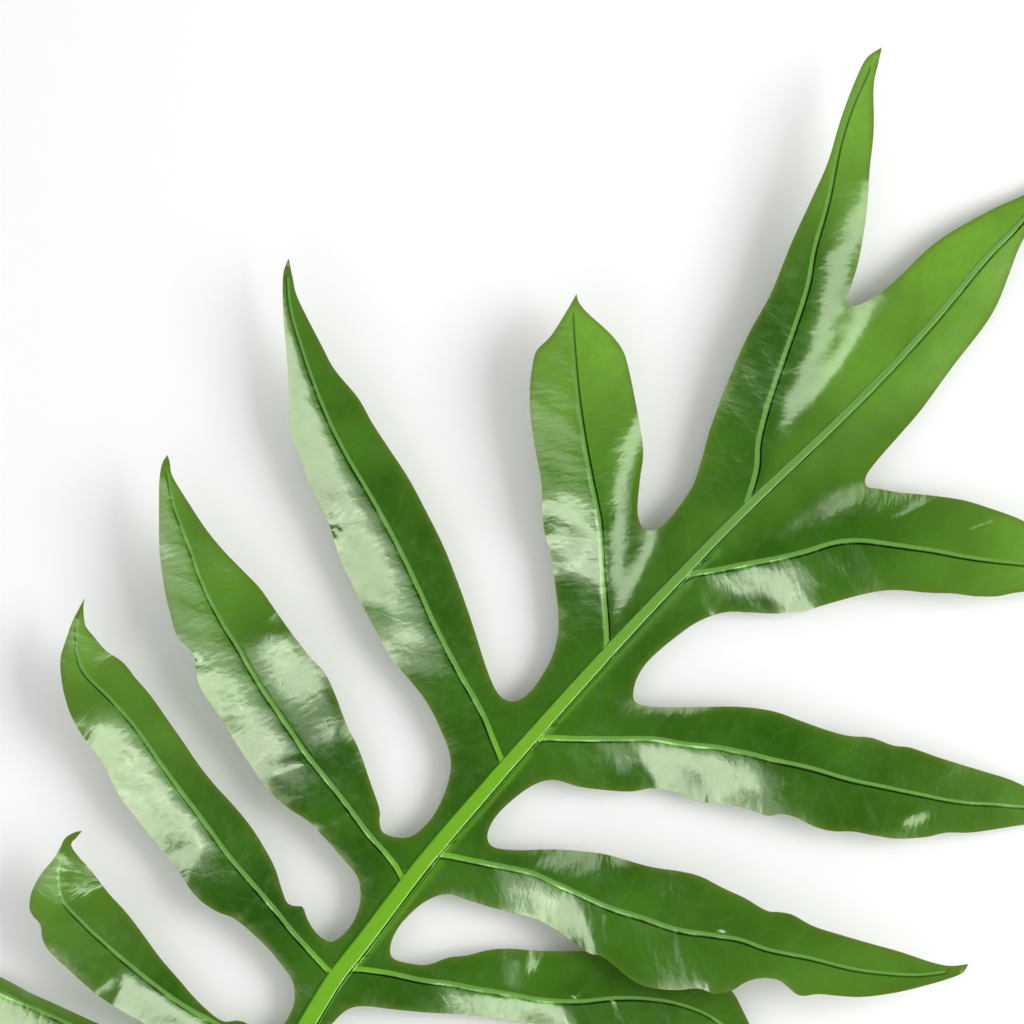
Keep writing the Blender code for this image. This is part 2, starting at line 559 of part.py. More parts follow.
def leaf_material():
    """Plain green with a soft gloss."""
    material = bpy.data.materials.new("leaf_green")
    material.use_nodes = True
    shader = material.node_tree.nodes["Principled BSDF"]
    shader.inputs["Base Color"].default_value = (0.06, 0.2, 0.02, 1)
    shader.inputs["Roughness"].default_value = 0.35
    shader.inputs["Metallic"].default_value = 0.0
    return material


collection = bpy.data.collections.new("alocasia_leaf")
bpy.context.scene.collection.children.link(collection)
leaf_object = build_leaf(collection)
leaf_object.data.materials.clear()
leaf_object.data.materials.append(leaf_material())
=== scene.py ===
import math

import bpy
import numpy as np
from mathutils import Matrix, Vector
from mathutils.geometry import delaunay_2d_cdt
from mathutils.kdtree import KDTree


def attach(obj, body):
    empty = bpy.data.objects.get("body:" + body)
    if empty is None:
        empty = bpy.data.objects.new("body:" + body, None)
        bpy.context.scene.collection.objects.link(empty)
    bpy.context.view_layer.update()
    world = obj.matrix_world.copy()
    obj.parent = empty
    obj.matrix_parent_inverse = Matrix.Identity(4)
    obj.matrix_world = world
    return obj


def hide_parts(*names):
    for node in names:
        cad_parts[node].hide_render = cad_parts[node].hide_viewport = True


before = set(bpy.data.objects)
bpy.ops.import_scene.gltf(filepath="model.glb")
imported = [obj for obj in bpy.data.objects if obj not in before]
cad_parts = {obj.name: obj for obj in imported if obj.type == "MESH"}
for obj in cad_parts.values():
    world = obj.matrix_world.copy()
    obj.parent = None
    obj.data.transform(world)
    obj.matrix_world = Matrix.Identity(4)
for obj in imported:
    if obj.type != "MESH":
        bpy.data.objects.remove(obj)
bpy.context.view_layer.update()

mm = 0.001
view = bpy.context.scene.view_settings
view.view_transform = "Standard"    # keeps the white floor white and the greens clean

# The leaf in its own plan, in mm: +Y runs along the middle rib to the tip, +X is its right side.
# The same points as the solid has, so that the fine leaf keeps its form.
leafPlan = {
    "middleRib": [
        (38.6, -213), (37, -203), (35.4, -192), (31.6, -170), (27.3, -150), (23.6, -135), (20, -122),
        (17.3, -112), (14.6, -102), (12, -92), (9.8, -82), (7.9, -72.5), (6.6, -66), (5.6, -60),
        (4.9, -50), (4, -40), (3.2, -30), (2.8, -20), (2.6, -10), (2.4, 0), (2.3, 20), (2.4, 38),
        (2.9, 58), (3.4, 72), (4.4, 86), (5.8, 104), (6.6, 120), (6.7, 137), (6.1, 153), (6.5, 163),
        (6.4, 174), (5.8, 183),
    ],
    "ribHeight": [    # y, height of the middle rib over the floor
        (-213, 2.5), (-206, 2.5), (-196, 2.8), (-170, 4.2), (-130, 5.6), (-80, 6.0), (-20, 6.0),
        (40, 6.2), (90, 7.0), (130, 7.4), (160, 5.6), (180, 2.4), (188, 0.6),
    ],
    "ribRadius": [    # y, half the width of the middle rib
        (-213, 2.2), (-140, 2.15), (-60, 2.0), (0, 1.7), (60, 1.3), (120, 0.9), (188, 0.45),
    ],
}

# Each lobe, clockwise from the stalk: vein, margin to the tip, margin back, vein heights, wave
leafLobes = {
    "left1": {
        "vein": [(15.2, -104.6), (6, -103), (-4, -102.6), (-14, -103.8), (-24, -105.8),
            (-32.8, -108.2), (-40, -110.6), (-46.4, -112.7), (-53, -115.2), (-57.6, -117)],
        "outward": [(21.6, -138), (20.2, -131), (18.4, -124), (16, -118.4), (12, -113.8), (7, -111.6),
            (0, -110.9), (-9, -111.7), (-19, -113.9), (-29, -116.9), (-39, -119.9), (-47, -121.3),
            (-53, -121.4), (-58, -120.3)],
        "tip": (-61.5, -118.6),
        "inward": [(-59.2, -115), (-54.5, -112), (-48.8, -109.9), (-42, -108.1), (-36, -106.1),
            (-30, -104.2), (-24, -102.3), (-17, -100.6), (-9, -99.6), (-1, -99.5), (4.2, -99.9),
            (7.4, -98.2)],
        "heights": (6.5, 0.5), "wave": 0.5,
    },
    "left2": {
        "vein": [(10.8, -87), (6, -86.2), (1, -85.5), (-4, -85.6), (-8.4, -86.1), (-14, -87.4),
            (-20, -88.2), (-28, -88.7), (-36, -88.8), (-44, -88.6), (-50.8, -87.6), (-55.2, -83.6),
            (-57.4, -79.6)],
        "outward": [(7.6, -95.4), (4.2, -93.3), (-1, -92.8), (-7, -93.4), (-13, -94.8), (-20.4, -96.4),
            (-26, -97.6), (-32, -98.2), (-38, -98.2), (-44.8, -98), (-48, -96.9), (-50.4, -94.9),
            (-53, -94.5), (-54.8, -93.6), (-56.8, -90.4), (-57.8, -86), (-57.9, -82.4), (-58.5, -79.2),
            (-59.1, -77), (-58.5, -74.9)],
        "tip": (-57.4, -73.3),
        "inward": [(-57.3, -75.4), (-57.2, -77.2), (-54.6, -78), (-50, -78.6), (-44, -79.8),
            (-38, -80.4), (-32, -81.6), (-26, -82.9), (-20, -83.7), (-14, -84.5), (-8.8, -84.6),
            (-6, -84), (-4, -81.9), (-1.6, -81), (0.8, -82), (3, -81.4)],
        "heights": (9.0, 14.0), "wave": 0.7,
    },
    "left3": {
        "vein": [(6, -61), (0, -60.4), (-8, -59.6), (-14, -58.6), (-22, -57.5), (-30, -56.4),
            (-40, -54.2), (-48, -52.6), (-56, -50.8), (-64, -48.9), (-72, -47.9), (-80, -47.4),
            (-84, -45.4), (-87.6, -41.6), (-89.4, -38.8)],
        "outward": [(4.2, -78.4), (3.8, -74), (2.4, -70.4), (-0.4, -67.6), (-4, -66.5), (-10, -65.6),
            (-16, -65.4), (-20, -65.7), (-23.2, -66.9), (-27.2, -67.6), (-31.2, -67.3), (-35, -66.2),
            (-40, -65.4), (-46, -64.4), (-52, -63.3), (-56, -62.6), (-60, -61.1), (-64, -59.4),
            (-70.4, -58.1), (-74.8, -56.7), (-78.8, -54.7), (-82.8, -51.8), (-86.2, -48.4),
            (-88.2, -44.2), (-89.8, -40.2)],
        "tip": (-91.1, -35),
        "inward": [(-90, -36.6), (-88.4, -38.2), (-86.8, -39.4), (-84, -39.9), (-80, -40.4),
            (-75.4, -39.9), (-71.2, -40.6), (-66, -41.3), (-60, -42.7), (-54, -44.1), (-48, -45.6),
            (-42, -46.6), (-36, -47.2), (-30, -48.2), (-24, -50), (-20, -51.6), (-16, -54),
            (-13.2, -55.3), (-11.4, -54.6), (-10.2, -53.7), (-8.2, -54.7), (-5.6, -55.7), (-2.4, -56)],
        "heights": (10.0, 15.0), "wave": 0.6,
    },
    "left4": {
        "vein": [(3.6, -35.4), (-2, -33.4), (-10, -32.4), (-18, -30.8), (-26, -29.4), (-32, -28.4),
            (-40, -26.4), (-50, -23.8), (-58, -21.2), (-66, -18.8), (-74, -15.6), (-82, -11.2),
            (-90, -7), (-95.6, -2.8)],
        "outward": [(0, -54.8), (0.6, -50.4), (-0.6, -46), (-2.8, -42.8), (-6, -40.6), (-12, -39.7),
            (-18, -39), (-22, -38.8), (-28, -39.7), (-34, -39.5), (-40, -38), (-46, -36.4),
            (-52, -34.6), (-58, -33.2), (-61.2, -31.6), (-64.2, -28.9), (-66, -28.1), (-70.4, -27.7),
            (-74.4, -25.4), (-80, -21.4), (-86, -16.2), (-92, -9.6), (-96, -5), (-98.2, -1.6)],
        "tip": (-98.6, 0.6),
        "inward": [(-97, -0.4), (-94.6, -2.2), (-88, -4.2), (-82, -5.8), (-76, -6.8), (-69, -7.3),
            (-64, -7.7), (-58, -9.1), (-52, -10.4), (-46, -11.5), (-41, -12), (-36, -14.1),
            (-30, -17.2), (-24, -19.7), (-18, -23), (-12, -26.4), (-10.2, -28.4), (-8, -29.7)],
        "heights": (10.5, 16.0), "wave": 0.5,
    },
    "left5": {
        "vein": [(2.4, -1.6), (-4, 1.6), (-10, 4.4), (-20, 7.8), (-30, 11.6), (-40, 16), (-50, 20),
            (-60, 23.5), (-68, 26), (-76, 29), (-84, 32.8), (-92, 37.2), (-100, 42.2), (-105, 46.8)],
        "outward": [(-5, -28.5), (-2.8, -26.2), (-2.1, -22.4), (-2.4, -18.4), (-4, -13.4),
            (-6.2, -9.4), (-9, -6.7), (-14, -4.2), (-20, -1.9), (-26, -0.8), (-32, 0), (-38, 2),
            (-44, 4.2), (-50, 6.6), (-56, 9.2), (-60, 11.6), (-64, 13.8), (-70.4, 16.2), (-77.6, 20),
            (-83.2, 23.2), (-88, 28.4), (-93.2, 33.6), (-99.2, 39.2), (-104, 44.2), (-106.6, 47.4)],
        "tip": (-107.8, 50.4),
        "inward": [(-104, 47.6), (-101.2, 45.6), (-96, 43.4), (-89.6, 41), (-84, 39), (-76, 37.8),
            (-70, 35.8), (-64, 34.2), (-56, 32.1), (-48, 29.2), (-40, 26), (-32, 22), (-24, 17.6),
            (-17.6, 13.8), (-12.8, 11.2), (-10, 10.1), (-7.6, 10)],
        "heights": (10.5, 14.0), "wave": 0.6,
    },
    "left6": {
        "vein": [(2.4, 33), (-2, 37.6), (-10, 45.2), (-18, 53), (-26, 59), (-32, 63.6), (-40, 70.2),
            (-48.4, 78), (-53, 82.6)],
        "outward": [(-5.4, 11.6), (-4.6, 15), (-5, 19.2), (-6.2, 24), (-8.6, 28.6), (-12, 32.4),
            (-16, 36), (-21.2, 40.4), (-26, 43.4), (-30, 47.2), (-34.4, 51.6), (-40, 55.8),
            (-45.2, 60.2), (-49.2, 64.4), (-52.6, 69.2), (-53.8, 72), (-53.6, 76), (-54.4, 81.2)],
        "tip": (-55.6, 86.8),
        "inward": [(-54, 85.8), (-51, 85.3), (-44.8, 85.3), (-40, 84.5), (-36, 82.2), (-30, 77.8),
            (-22, 71.4), (-18, 66), (-14.6, 61.4), (-12.2, 59.2), (-9.8, 58.5)],
        "heights": (12.5, 16.0), "wave": 0.4,
    },
    "left7": {
        "vein": [(3.7, 77), (0, 84.8), (-4, 90), (-8, 97.6), (-12, 106.8), (-18.2, 121),
            (-23.2, 129.2), (-28, 138.8), (-34.4, 149.6), (-38.2, 158), (-40.8, 166)],
        "outward": [(-7.9, 60.2), (-7.3, 64), (-8.2, 72), (-10.6, 78), (-14, 84.8), (-18, 94.8),
            (-21.6, 105.6), (-24, 115.6), (-28, 126.6), (-31.2, 136.8), (-34, 145.2), (-38.2, 154),
            (-41.5, 162.4), (-42.9, 167.6)],
        "tip": (-42, 171.6),
        "inward": [(-40.2, 168.4), (-37.6, 164), (-31.2, 157), (-26, 150), (-20, 142.4),
            (-14.8, 134.4), (-12.4, 129.6), (-11.2, 126.4), (-9.8, 125.3)],
        "heights": (12.5, 19.0), "wave": 0.5,
    },
    "tip": {
        "vein": [],
        "outward": [(-8.2, 126.2), (-6.4, 130.6), (-5.4, 136.8), (-4.8, 146), (-3.4, 152.6),
            (0, 162.4), (2.8, 168.8), (4.4, 173.6), (5.2, 179)],
        "tip": (5.4, 188),
        "inward": [(6.8, 181), (7.9, 173), (8.7, 166), (9.9, 160.2), (12.2, 154.2), (14.6, 147.8),
            (15.8, 141.8), (16.6, 131), (17.8, 119.2), (18, 112), (18.1, 104), (18.6, 99.8),
            (20.2, 98.2)],
        "wave": 0.5,
    },
    "right6": {
        "vein": [(3, 55), (4.8, 59), (7.6, 62.4), (10.8, 66.8), (14.8, 72), (18.8, 77.6), (23.2, 84.8),
            (27.6, 89.2), (34, 93.6), (40, 97.6), (46, 101.2), (52, 105.2), (57, 108.8), (63, 112.6),
            (69, 116.6), (74, 120)],
        "outward": [(22.4, 99.6), (26, 101.8), (32, 106.2), (38, 110.2), (44, 113), (50, 115.4),
            (56, 116.8), (63, 118.6), (71, 120.9)],
        "tip": (78.5, 123),
        "inward": [(74, 118.4), (68, 112), (64, 107.2), (60, 102.6), (57.6, 99.4), (54, 96.2),
            (50, 93.4), (46, 90), (40, 85.4), (36, 80.8), (31.2, 73.4), (28, 68.2), (24, 64),
            (19.4, 60.2), (15.6, 56.8), (12.6, 51.4), (11, 44.6), (10.2, 38), (10.6, 34), (11.9, 30.8),
            (13.8, 28.9)],
        "heights": (8.5, 9.0), "wave": 0.6,
    },
    "right5": {
        "vein": [(2.4, 7), (4.8, 10.2), (10, 14.6), (16.8, 20.8), (22.4, 25.8), (28, 29.4), (34, 33.8),
            (40, 37.4), (46, 40.6), (52, 44), (60, 47.8), (66, 51.2), (74, 55.8), (82, 60.6),
            (90, 66.8), (97, 71.8), (102, 75.4)],
        "outward": [(16.4, 29.8), (20.4, 33), (26, 38.2), (32, 43.6), (38, 47.7), (44, 50.2),
            (50, 52.7), (54, 54.8), (58, 57.8), (62.8, 59.8), (66, 62), (72.4, 64.7), (80, 68.2),
            (86, 71), (90, 72.4), (96, 73.8), (101, 75.9)],
        "tip": (106, 78.8),
        "inward": [(103.4, 74.8), (99.6, 70.2), (95.6, 65.6), (92, 61.2), (88, 56.6), (84.4, 53.4),
            (81.6, 49.6), (77.2, 45.2), (72.8, 42.2), (68.8, 39.8), (65.6, 37), (62, 35), (57.2, 33.6),
            (54.4, 32), (52.6, 29.8), (49.6, 28.5), (46, 26.8), (42.4, 24.4), (39.2, 21.9),
            (33.2, 19.6), (29.6, 17.2), (26.4, 13.4), (22, 9.9), (17.2, 6.6), (12.4, 4.2), (9.8, 0.6),
            (8.4, -5.4), (8.2, -10.8), (9.4, -14.6), (11.6, -15.9)],
        "heights": (8.5, 0.5), "wave": 0.9,
    },
    "right4": {
        "vein": [(2.9, -27), (5.2, -24.2), (11.2, -20.6), (16.8, -17.2), (22.4, -14), (28, -12.2),
            (34, -10.2), (40, -8.2), (46, -5.4), (54, -1.9), (60, 2), (66, 5.8), (72, 8.3), (80, 13),
            (88, 17.2), (94, 21.2), (100, 26), (104, 30.4)],
        "outward": [(14.6, -14.4), (20, -9.6), (26, -4.4), (32, -0.2), (40, 3.8), (46, 7.7), (50, 9.9),
            (54, 11), (60, 12.8), (66, 14.1), (68.4, 15.8), (71, 17.3), (76, 18.5), (82, 21.2),
            (88, 24.1), (94, 27.1), (100, 29.7), (104, 32)],
        "tip": (106.9, 35.1),
        "inward": [(107.2, 32.8), (105.8, 29.8), (103.2, 25.6), (99.2, 19.8), (94.4, 14.2), (90, 10.6),
            (86.8, 8.2), (84, 5.2), (81.2, 4.8), (78, 4.5), (74.8, 2), (73.1, -0.8), (72.1, -4),
            (69.8, -7), (66.4, -8.6), (62.8, -12.4), (58, -15.8), (54.4, -17), (50, -17.2),
            (46, -17.6), (43.2, -19), (38, -19.7), (32, -20.6), (28, -22.1), (23, -24.9), (16, -28.2),
            (11.6, -30.3), (9.2, -34.6), (8.4, -40.4), (9, -45), (10.6, -48), (12.6, -48.8)],
        "heights": (11.0, 12.0), "wave": 1.0,
    },
    "right3": {
        "vein": [(5.4, -58.6), (7.6, -55.8), (14, -51.4), (20, -48), (24.8, -44.6), (30.4, -41.2),
            (36, -37.6), (42.4, -33.6), (48.8, -28.4), (54, -22.8), (59, -18.4), (65, -14.4),
            (72, -11.6), (79, -10.9), (85, -11.7)],
        "outward": [(16.4, -46.8), (19, -44.6), (21.2, -40.6), (24, -37.4), (26.4, -33.8), (30, -30),
            (36, -25.4), (42, -20), (47, -16), (52, -12.4), (57, -9), (62, -6.2), (67, -4.5),
            (72.4, -4.2), (78, -6.1), (83, -8.4)],
        "tip": (89.5, -12.4),
        "inward": [(85.6, -14.4), (80, -17.2), (74, -20.6), (68, -24.4), (62, -28.2), (56, -32),
            (50, -35.8), (44, -39.6), (38, -43.5), (32, -47.8), (26, -52.6), (20, -57), (15.2, -60.4),
            (12.6, -63.2), (11.9, -67), (12.2, -71.5), (13.4, -75), (15.4, -76.3)],
        "heights": (5.0, 4.5), "wave": 0.7,
    },
    "right2": {
        "vein": [(9.8, -84.4), (12, -82), (18, -77.6), (25, -73), (33, -67.8), (41, -62), (49, -56.4),
            (57, -51), (65, -46.4), (72, -43.2)],
        "outward": [(18.4, -75), (24, -70), (30, -64.8), (36, -60), (43, -55), (51, -49.8),
            (59, -45.4), (67, -42.4), (73, -41.4)],
        "tip": (78.5, -40.8),
        "inward": [(74, -45), (68, -50.6), (61, -57), (53.5, -63.4), (46, -69.8), (38, -76.4),
            (31, -81.8), (25, -86), (20.6, -89.4), (18.6, -93), (19, -96.2), (21.2, -97.4)],
        "heights": (7.0, 5.0), "wave": 0.6,
    },
    "right1": {
        "vein": [(14.6, -105.6), (17.4, -103), (23, -99.4), (29, -95.6), (35.6, -90.6), (42, -85.8),
            (48, -81.4), (53.6, -78)],
        "outward": [(25, -95.2), (31, -90.4), (37.4, -85.4), (44, -80.8), (51, -77.6)],
        "tip": (58.5, -76.2),
        "inward": [(54.4, -81), (48.6, -87.2), (42, -93.6), (35, -99.8), (29.8, -105), (26.6, -109.8),
            (25, -115.4), (24.6, -122), (25.2, -130), (26.8, -138)],
        "heights": (6.5, 5.0), "wave": 0.5,
    },
}

# What a user would change about the leaf's own form, in mm
leafForm = {
    "crestRounding": 1.0,
    "acrossBow": (0.5, 1.2, -0.73),     # soft at the vein, steepest halfway, soft at the margin
    "waveShare": 0.45, "waveLength": 27.0, "waveAt": 11.0,
    "rimThickness": 0.55, "bladeThickness": 0.7, "rimWidth": 2.2, "edgeDrop": 0.03,
    "leastThickness": 0.35, "lowest": 0.45, "aboveShare": 0.3,
    "midRibRise": 0.26, "midRibUnder": 1.4,     # shares of the middle rib's half width
    "midCrevice": 0.1, "midCreviceHalf": 0.3,
    "lobeRibRise": (0.07, 0.03), "lobeRibUnder": (1.3, 0.4), "lobeRibHalf": (0.62, 0.26),
    "bandPlace": {"left": (-0.36, 0.38), "right": (0.2, 0.98)},     # middle of a rib, of the painted shade line beside it
    "creviceDepth": (0.08, 0.04), "creviceHalf": 0.24,
    "openBlend": (18.0, 34.0),      # from the middle rib, where neighbouring lobes stop blending
    "marginStep": 0.8, "rowStep": 0.85, "fillStep": 1.12, "marginClear": 0.45,
    "midRibRows": (0.35, 0.6, 0.78, 0.92, 1.06, 1.22, 1.5, 1.9),     # shares of the half width
    "lobeRows": (0.27, 0.54, 0.81, 1.08, 1.35, 1.7),
    "stalkFrom": -142, "stalkShare": 0.93, "stalkEvery": 6, "tipSpan": (-100, 190), "sharpAngle": 65,
    "swung": "right4", "swing": 13.5, "swingStart": 20.0, "swingLength": 45.0,
    "swungReach": 1.22, "left2Reach": 1.15,     # how far these two take points from the lobe beside them
}
# How steeply each half of a lobe falls from its vein, from the middle rib (0) to the tip (1):
# the half left of the vein, seen from the middle rib outwards, and the half right of it
halfSlope = {
    "left1": ([(0, 0.02), (0.6, 0.12), (1, 0.12)], [(0, 0.08), (1, 0.1)]),
    "left2": ([(0, 0.18), (0.44, 0.25), (0.52, 0.22), (0.6, -0.02), (1, -0.02)],
              [(0, 0.02), (0.7, 0.03), (0.85, 0.12), (1, 0.2)]),
    "left3": ([(0, -0.14), (0.24, -0.12), (0.34, 0.04), (0.44, 0.25), (0.6, 0.25), (0.72, 0.16),
               (0.84, -0.02), (1, 0.0)], [(0, 0.02), (1, 0.02)]),
    "left4": ([(0, -0.14), (0.18, -0.12), (0.3, 0.06), (0.4, 0.22), (0.5, 0.2), (0.62, 0.1),
               (0.8, 0.11), (1, 0.08)],
              [(0, -0.02), (0.3, -0.02), (0.4, -0.13), (0.5, -0.19), (0.58, -0.18), (0.64, 0.0),
               (1, 0.03)]),
    "left5": ([(0, -0.06), (0.14, -0.03), (0.3, 0.18), (0.4, 0.24), (0.8, 0.27), (0.95, 0.2), (1, 0.16)],
              [(0, 0.0), (1, 0.0)]),
    "left6": ([(0, -0.14), (0.14, -0.12), (0.25, 0.06), (0.36, 0.18), (0.52, 0.1), (1, 0.1)],
              [(0, 0.06), (0.3, 0.04), (0.45, 0.05), (0.62, 0.1), (1, 0.08)]),
    "left7": ([(0, -0.08), (0.2, -0.12), (1, -0.1)],
              [(0, 0.0), (0.14, 0.02), (0.24, 0.12), (0.34, 0.12), (0.44, 0.12), (0.56, 0.18),
               (0.66, 0.18), (0.78, 0.06), (1, 0.08)]),
    "tip": ([(0, 0.0), (1, 0.08)],
            [(0, -0.02), (0.45, 0.0), (0.52, 0.1), (0.6, 0.2), (0.67, 0.2), (0.74, 0.15), (1, 0.15)]),
    "right6": ([(0, 0.06), (0.12, 0.02), (0.2, -0.02), (0.4, -0.02), (0.5, 0.03), (1, 0.08)],
               [(0, 0.14), (0.08, 0.3), (0.2, 0.26), (0.3, 0.04), (1, 0.02)]),
    "right5": ([(0, 0.02), (0.14, -0.04), (0.3, -0.03), (0.5, 0.03), (1, 0.06)],
               [(0, -0.03), (0.08, 0.02), (0.16, 0.14), (0.24, 0.27), (0.4, 0.26), (0.5, 0.03),
                (0.75, -0.05), (1, -0.14)]),
    "right4": ([(0, 0.02), (0.15, 0.02), (0.22, 0.16), (0.3, 0.14), (0.38, 0.02), (1, 0.1)],
               [(0, -0.08), (0.09, -0.02), (0.17, 0.14), (0.26, 0.14), (0.34, 0.0), (1, -0.06)]),
    "right3": ([(0, 0.06), (0.34, 0.04), (0.41, -0.14), (0.47, 0.06), (1, 0.08)],
               [(0, -0.1), (0.15, -0.03), (0.27, 0.2), (0.48, 0.3), (0.56, 0.04), (1, 0.02)]),
    "right2": ([(0, 0.1), (1, 0.16)], [(0, 0.0), (0.3, 0.25), (0.6, 0.12), (1, 0.08)]),
    "right1": ([(0, 0.1), (1, 0.16)], [(0, 0.0), (0.4, 0.2), (1, 0.1)]),
}
# How much of the lighter, younger green each lobe shows towards its tip
youngLobes = {"left1": 0.6, "left2": 0.6, "left3": 1.0, "left4": 0.6, "left5": 0.2, "left6": 1.0,
              "left7": 1.0, "tip": 1.0, "right6": 0.9, "right5": 0.3, "right4": 0.4, "right3": 0.2,
              "right2": 0.3, "right1": 0.3}
# Small folds and dents that stand on the blade: lobe, points, height, half width, in mm
leafFolds = [
    ("left5", [(-61.0, 12.2), (-59.8, 13.0)], -0.6, 0.6),
    ("left4", [(-64.0, -29.2), (-62.8, -29.5)], -0.35, 0.5),
    ("left3", [(-62.4, -55.6), (-60.4, -54.4)], -0.22, 0.7),
    ("left3", [(-20.4, -64.0), (-19.2, -62.4)], 0.18, 0.7),
    ("left4", [(-32.0, -30.0), (-36.0, -36.0)], 0.22, 0.6),
    ("left4", [(-17.0, -32.0), (-20.0, -38.0)], 0.22, 0.6),
    ("left2", [(-42.0, -84.0), (-37.0, -86.6)], 0.08, 0.8),
    ("right5", [(66.0, 46.0), (69.0, 44.5)], 0.3, 0.6),
    ("right5", [(75.0, 50.0), (76.5, 52.5)], 0.5, 1.8),
    ("right4", [(41.0, -10.0), (43.5, -13.5)], 0.25, 0.6),
    ("right4", [(54.0, -2.0), (63.0, -8.5)], 0.1, 0.5),
    ("right4", [(61.4, 4.6), (62.0, 5.0)], 0.25, 0.7),
    ("right3", [(47.5, -20.0), (47.5, -28.0)], 0.3, 0.7),
    ("right3", [(55.0, -23.0), (60.0, -25.0)], 0.3, 0.7),
    ("right6", [(44.0, 106.0), (47.0, 112.0)], 0.3, 0.7),
    ("right6", [(30.0, 96.0), (33.5, 107.0)], 0.25, 0.8),
    ("tip", [(4.5, 10.0), (4.6, 30.0), (4.9, 52.0), (5.4, 66.0)], 0.07, 0.5),
    ("tip", [(5.2, -24.0), (5.2, -10.0), (4.6, 5.0)], 0.07, 0.5),
    ("tip", [(7.6, -55.0), (6.8, -40.0), (6.0, -26.0)], 0.07, 0.5),
]


def addObject(name, data):
    made = bpy.data.objects.new(name, data)
    bpy.context.scene.collection.objects.link(made)
    return made


def smoothLine(points, steps=12):
    points = np.array(points, dtype=float)
    padded = np.vstack([2 * points[0] - points[1], points, 2 * points[-1] - points[-2]])
    t = (np.arange(steps) / steps)[:, None]
    line = [0.5 * (2 * b + (c - a) * t + (2 * a - 5 * b + 4 * c - d) * t ** 2
                   + (3 * b - a - 3 * c + d) * t ** 3)
            for a, b, c, d in zip(padded, padded[1:], padded[2:], padded[3:])]
    return np.vstack(line + [points[-1:]])


def evenLine(line, step):
    length = np.concatenate([[0], np.cumsum(np.linalg.norm(np.diff(line, axis=0), axis=1))])
    at = np.linspace(0, length[-1], max(2, round(length[-1] / step) + 1))
    return np.stack([np.interp(at, length, line[:, k]) for k in (0, 1)], 1)


def nearestOn(points, line):
    # length along the line and signed distance (left positive) of each point's nearest place
    start = line[:-1]
    step = np.diff(line, axis=0)
    lengths = np.linalg.norm(step, axis=1)
    before = np.concatenate([[0.0], np.cumsum(lengths)[:-1]])
    along = np.zeros(len(points))
    away = np.zeros(len(points))
    for first in range(0, len(points), 4000):
        some = slice(first, first + 4000)
        offset = points[some, None, :] - start[None, :, :]
        part = np.clip((offset * step).sum(2) / lengths ** 2, 0.0, 1.0)
        gap = offset - part[..., None] * step
        far = np.hypot(gap[..., 0], gap[..., 1])
        best = far.argmin(axis=1)
        row = np.arange(len(best))
        side = step[best, 0] * offset[row, best, 1] - step[best, 1] * offset[row, best, 0]
        along[some] = before[best] + part[row, best] * lengths[best]
        away[some] = np.where(side >= 0, 1, -1) * far[row, best]
    return along, away


def ramp(values, low, high):
    t = np.clip((values - low) / (high - low), 0.0, 1.0)
    return t * t * (3 - 2 * t)


def softTable(t, pairs):
    # a value for each t from a few (t, value) pairs, with soft turns
    at, values = (np.array(column, float) for column in zip(*pairs))
    k = np.interp(t, at, np.arange(len(at)))
    i = np.minimum(k.astype(int), len(at) - 2)
    f = ramp(k - i, 0.0, 1.0)
    return values[i] * (1 - f) + values[i + 1] * f


def swingOf(points):
    vein = np.array(leafLobes[leafForm["swung"]]["vein"][1], dtype=float)
    axis = np.array(leafLobes[leafForm["swung"]]["tip"], dtype=float) - vein
    axis /= np.linalg.norm(axis)
    start = leafForm["swingStart"]
    amount = leafForm["swing"] * ramp((points - vein) @ axis, start, start + leafForm["swingLength"])
    return amount[:, None] * np.array([-axis[1], axis[0]])


def tableAt(name, y):
    table = smoothLine(leafPlan[name])
    return np.interp(y, table[:, 0], table[:, 1])


def insideOf(points, outline):
    x, y = points[:, 0], points[:, 1]
    odd = np.zeros(len(points), dtype=bool)
    for (x0, y0), (x1, y1) in zip(outline, np.roll(outline, -1, axis=0)):
        if y0 != y1:
            odd ^= ((y0 > y) != (y1 > y)) & (x < x0 + (y - y0) * (x1 - x0) / (y1 - y0))
    return odd


def acrossOf(line):
    along = np.gradient(line, axis=0)
    along /= np.linalg.norm(along, axis=1)[:, None]
    return np.stack([along[:, 1], -along[:, 0]], 1)


def flatPattern():
    # the margin in runs from tip to tip, and the veins, with right4 swung clear of right3
    runs, run, veins = [], [], {"tip": smoothLine(leafPlan["middleRib"])}
    for name, lobe in leafLobes.items():
        outward = np.array(lobe["outward"], float)
        inward = np.array(lobe["inward"], float)
        tip = np.array([lobe["tip"]], float)
        vein = smoothLine(lobe["vein"]) if lobe["vein"] else None
        if name == leafForm["swung"]:
            outward, inward = outward + swingOf(outward), inward + swingOf(inward)
            tip, vein = tip + swingOf(tip), vein + swingOf(vein)
        run.extend([*outward, tip[0]])
        runs.append(run)
        run = [tip[0], *inward]
        if vein is not None:
            veins[name] = vein
    runs.append(run)
    rib = veins["tip"]
    half = leafForm["stalkShare"] * tableAt("ribRadius", rib[:, 1])[:, None]
    stalk, every = rib[:, 1] < leafForm["stalkFrom"], leafForm["stalkEvery"]
    runs[0] = [*(rib - acrossOf(rib) * half)[stalk][::every], *runs[0]]
    runs[-1] = [*run, *(rib + acrossOf(rib) * half)[stalk][::-1][::every]]
    margin = []
    for run in runs:
        margin.extend(evenLine(smoothLine(run), leafForm["marginStep"])[:-1])
    margin.append(np.array(runs[-1][-1]))
    cut = evenLine(np.array([runs[-1][-1], runs[0][0]], float), leafForm["marginStep"])
    margin.extend(cut[1:-1])
    return np.array(margin), veins


def treeOf(points):
    tree = KDTree(len(points))
    for index, (x, y) in enumerate(points):
        tree.insert((x, y, 0), index)
    tree.balance()
    return tree


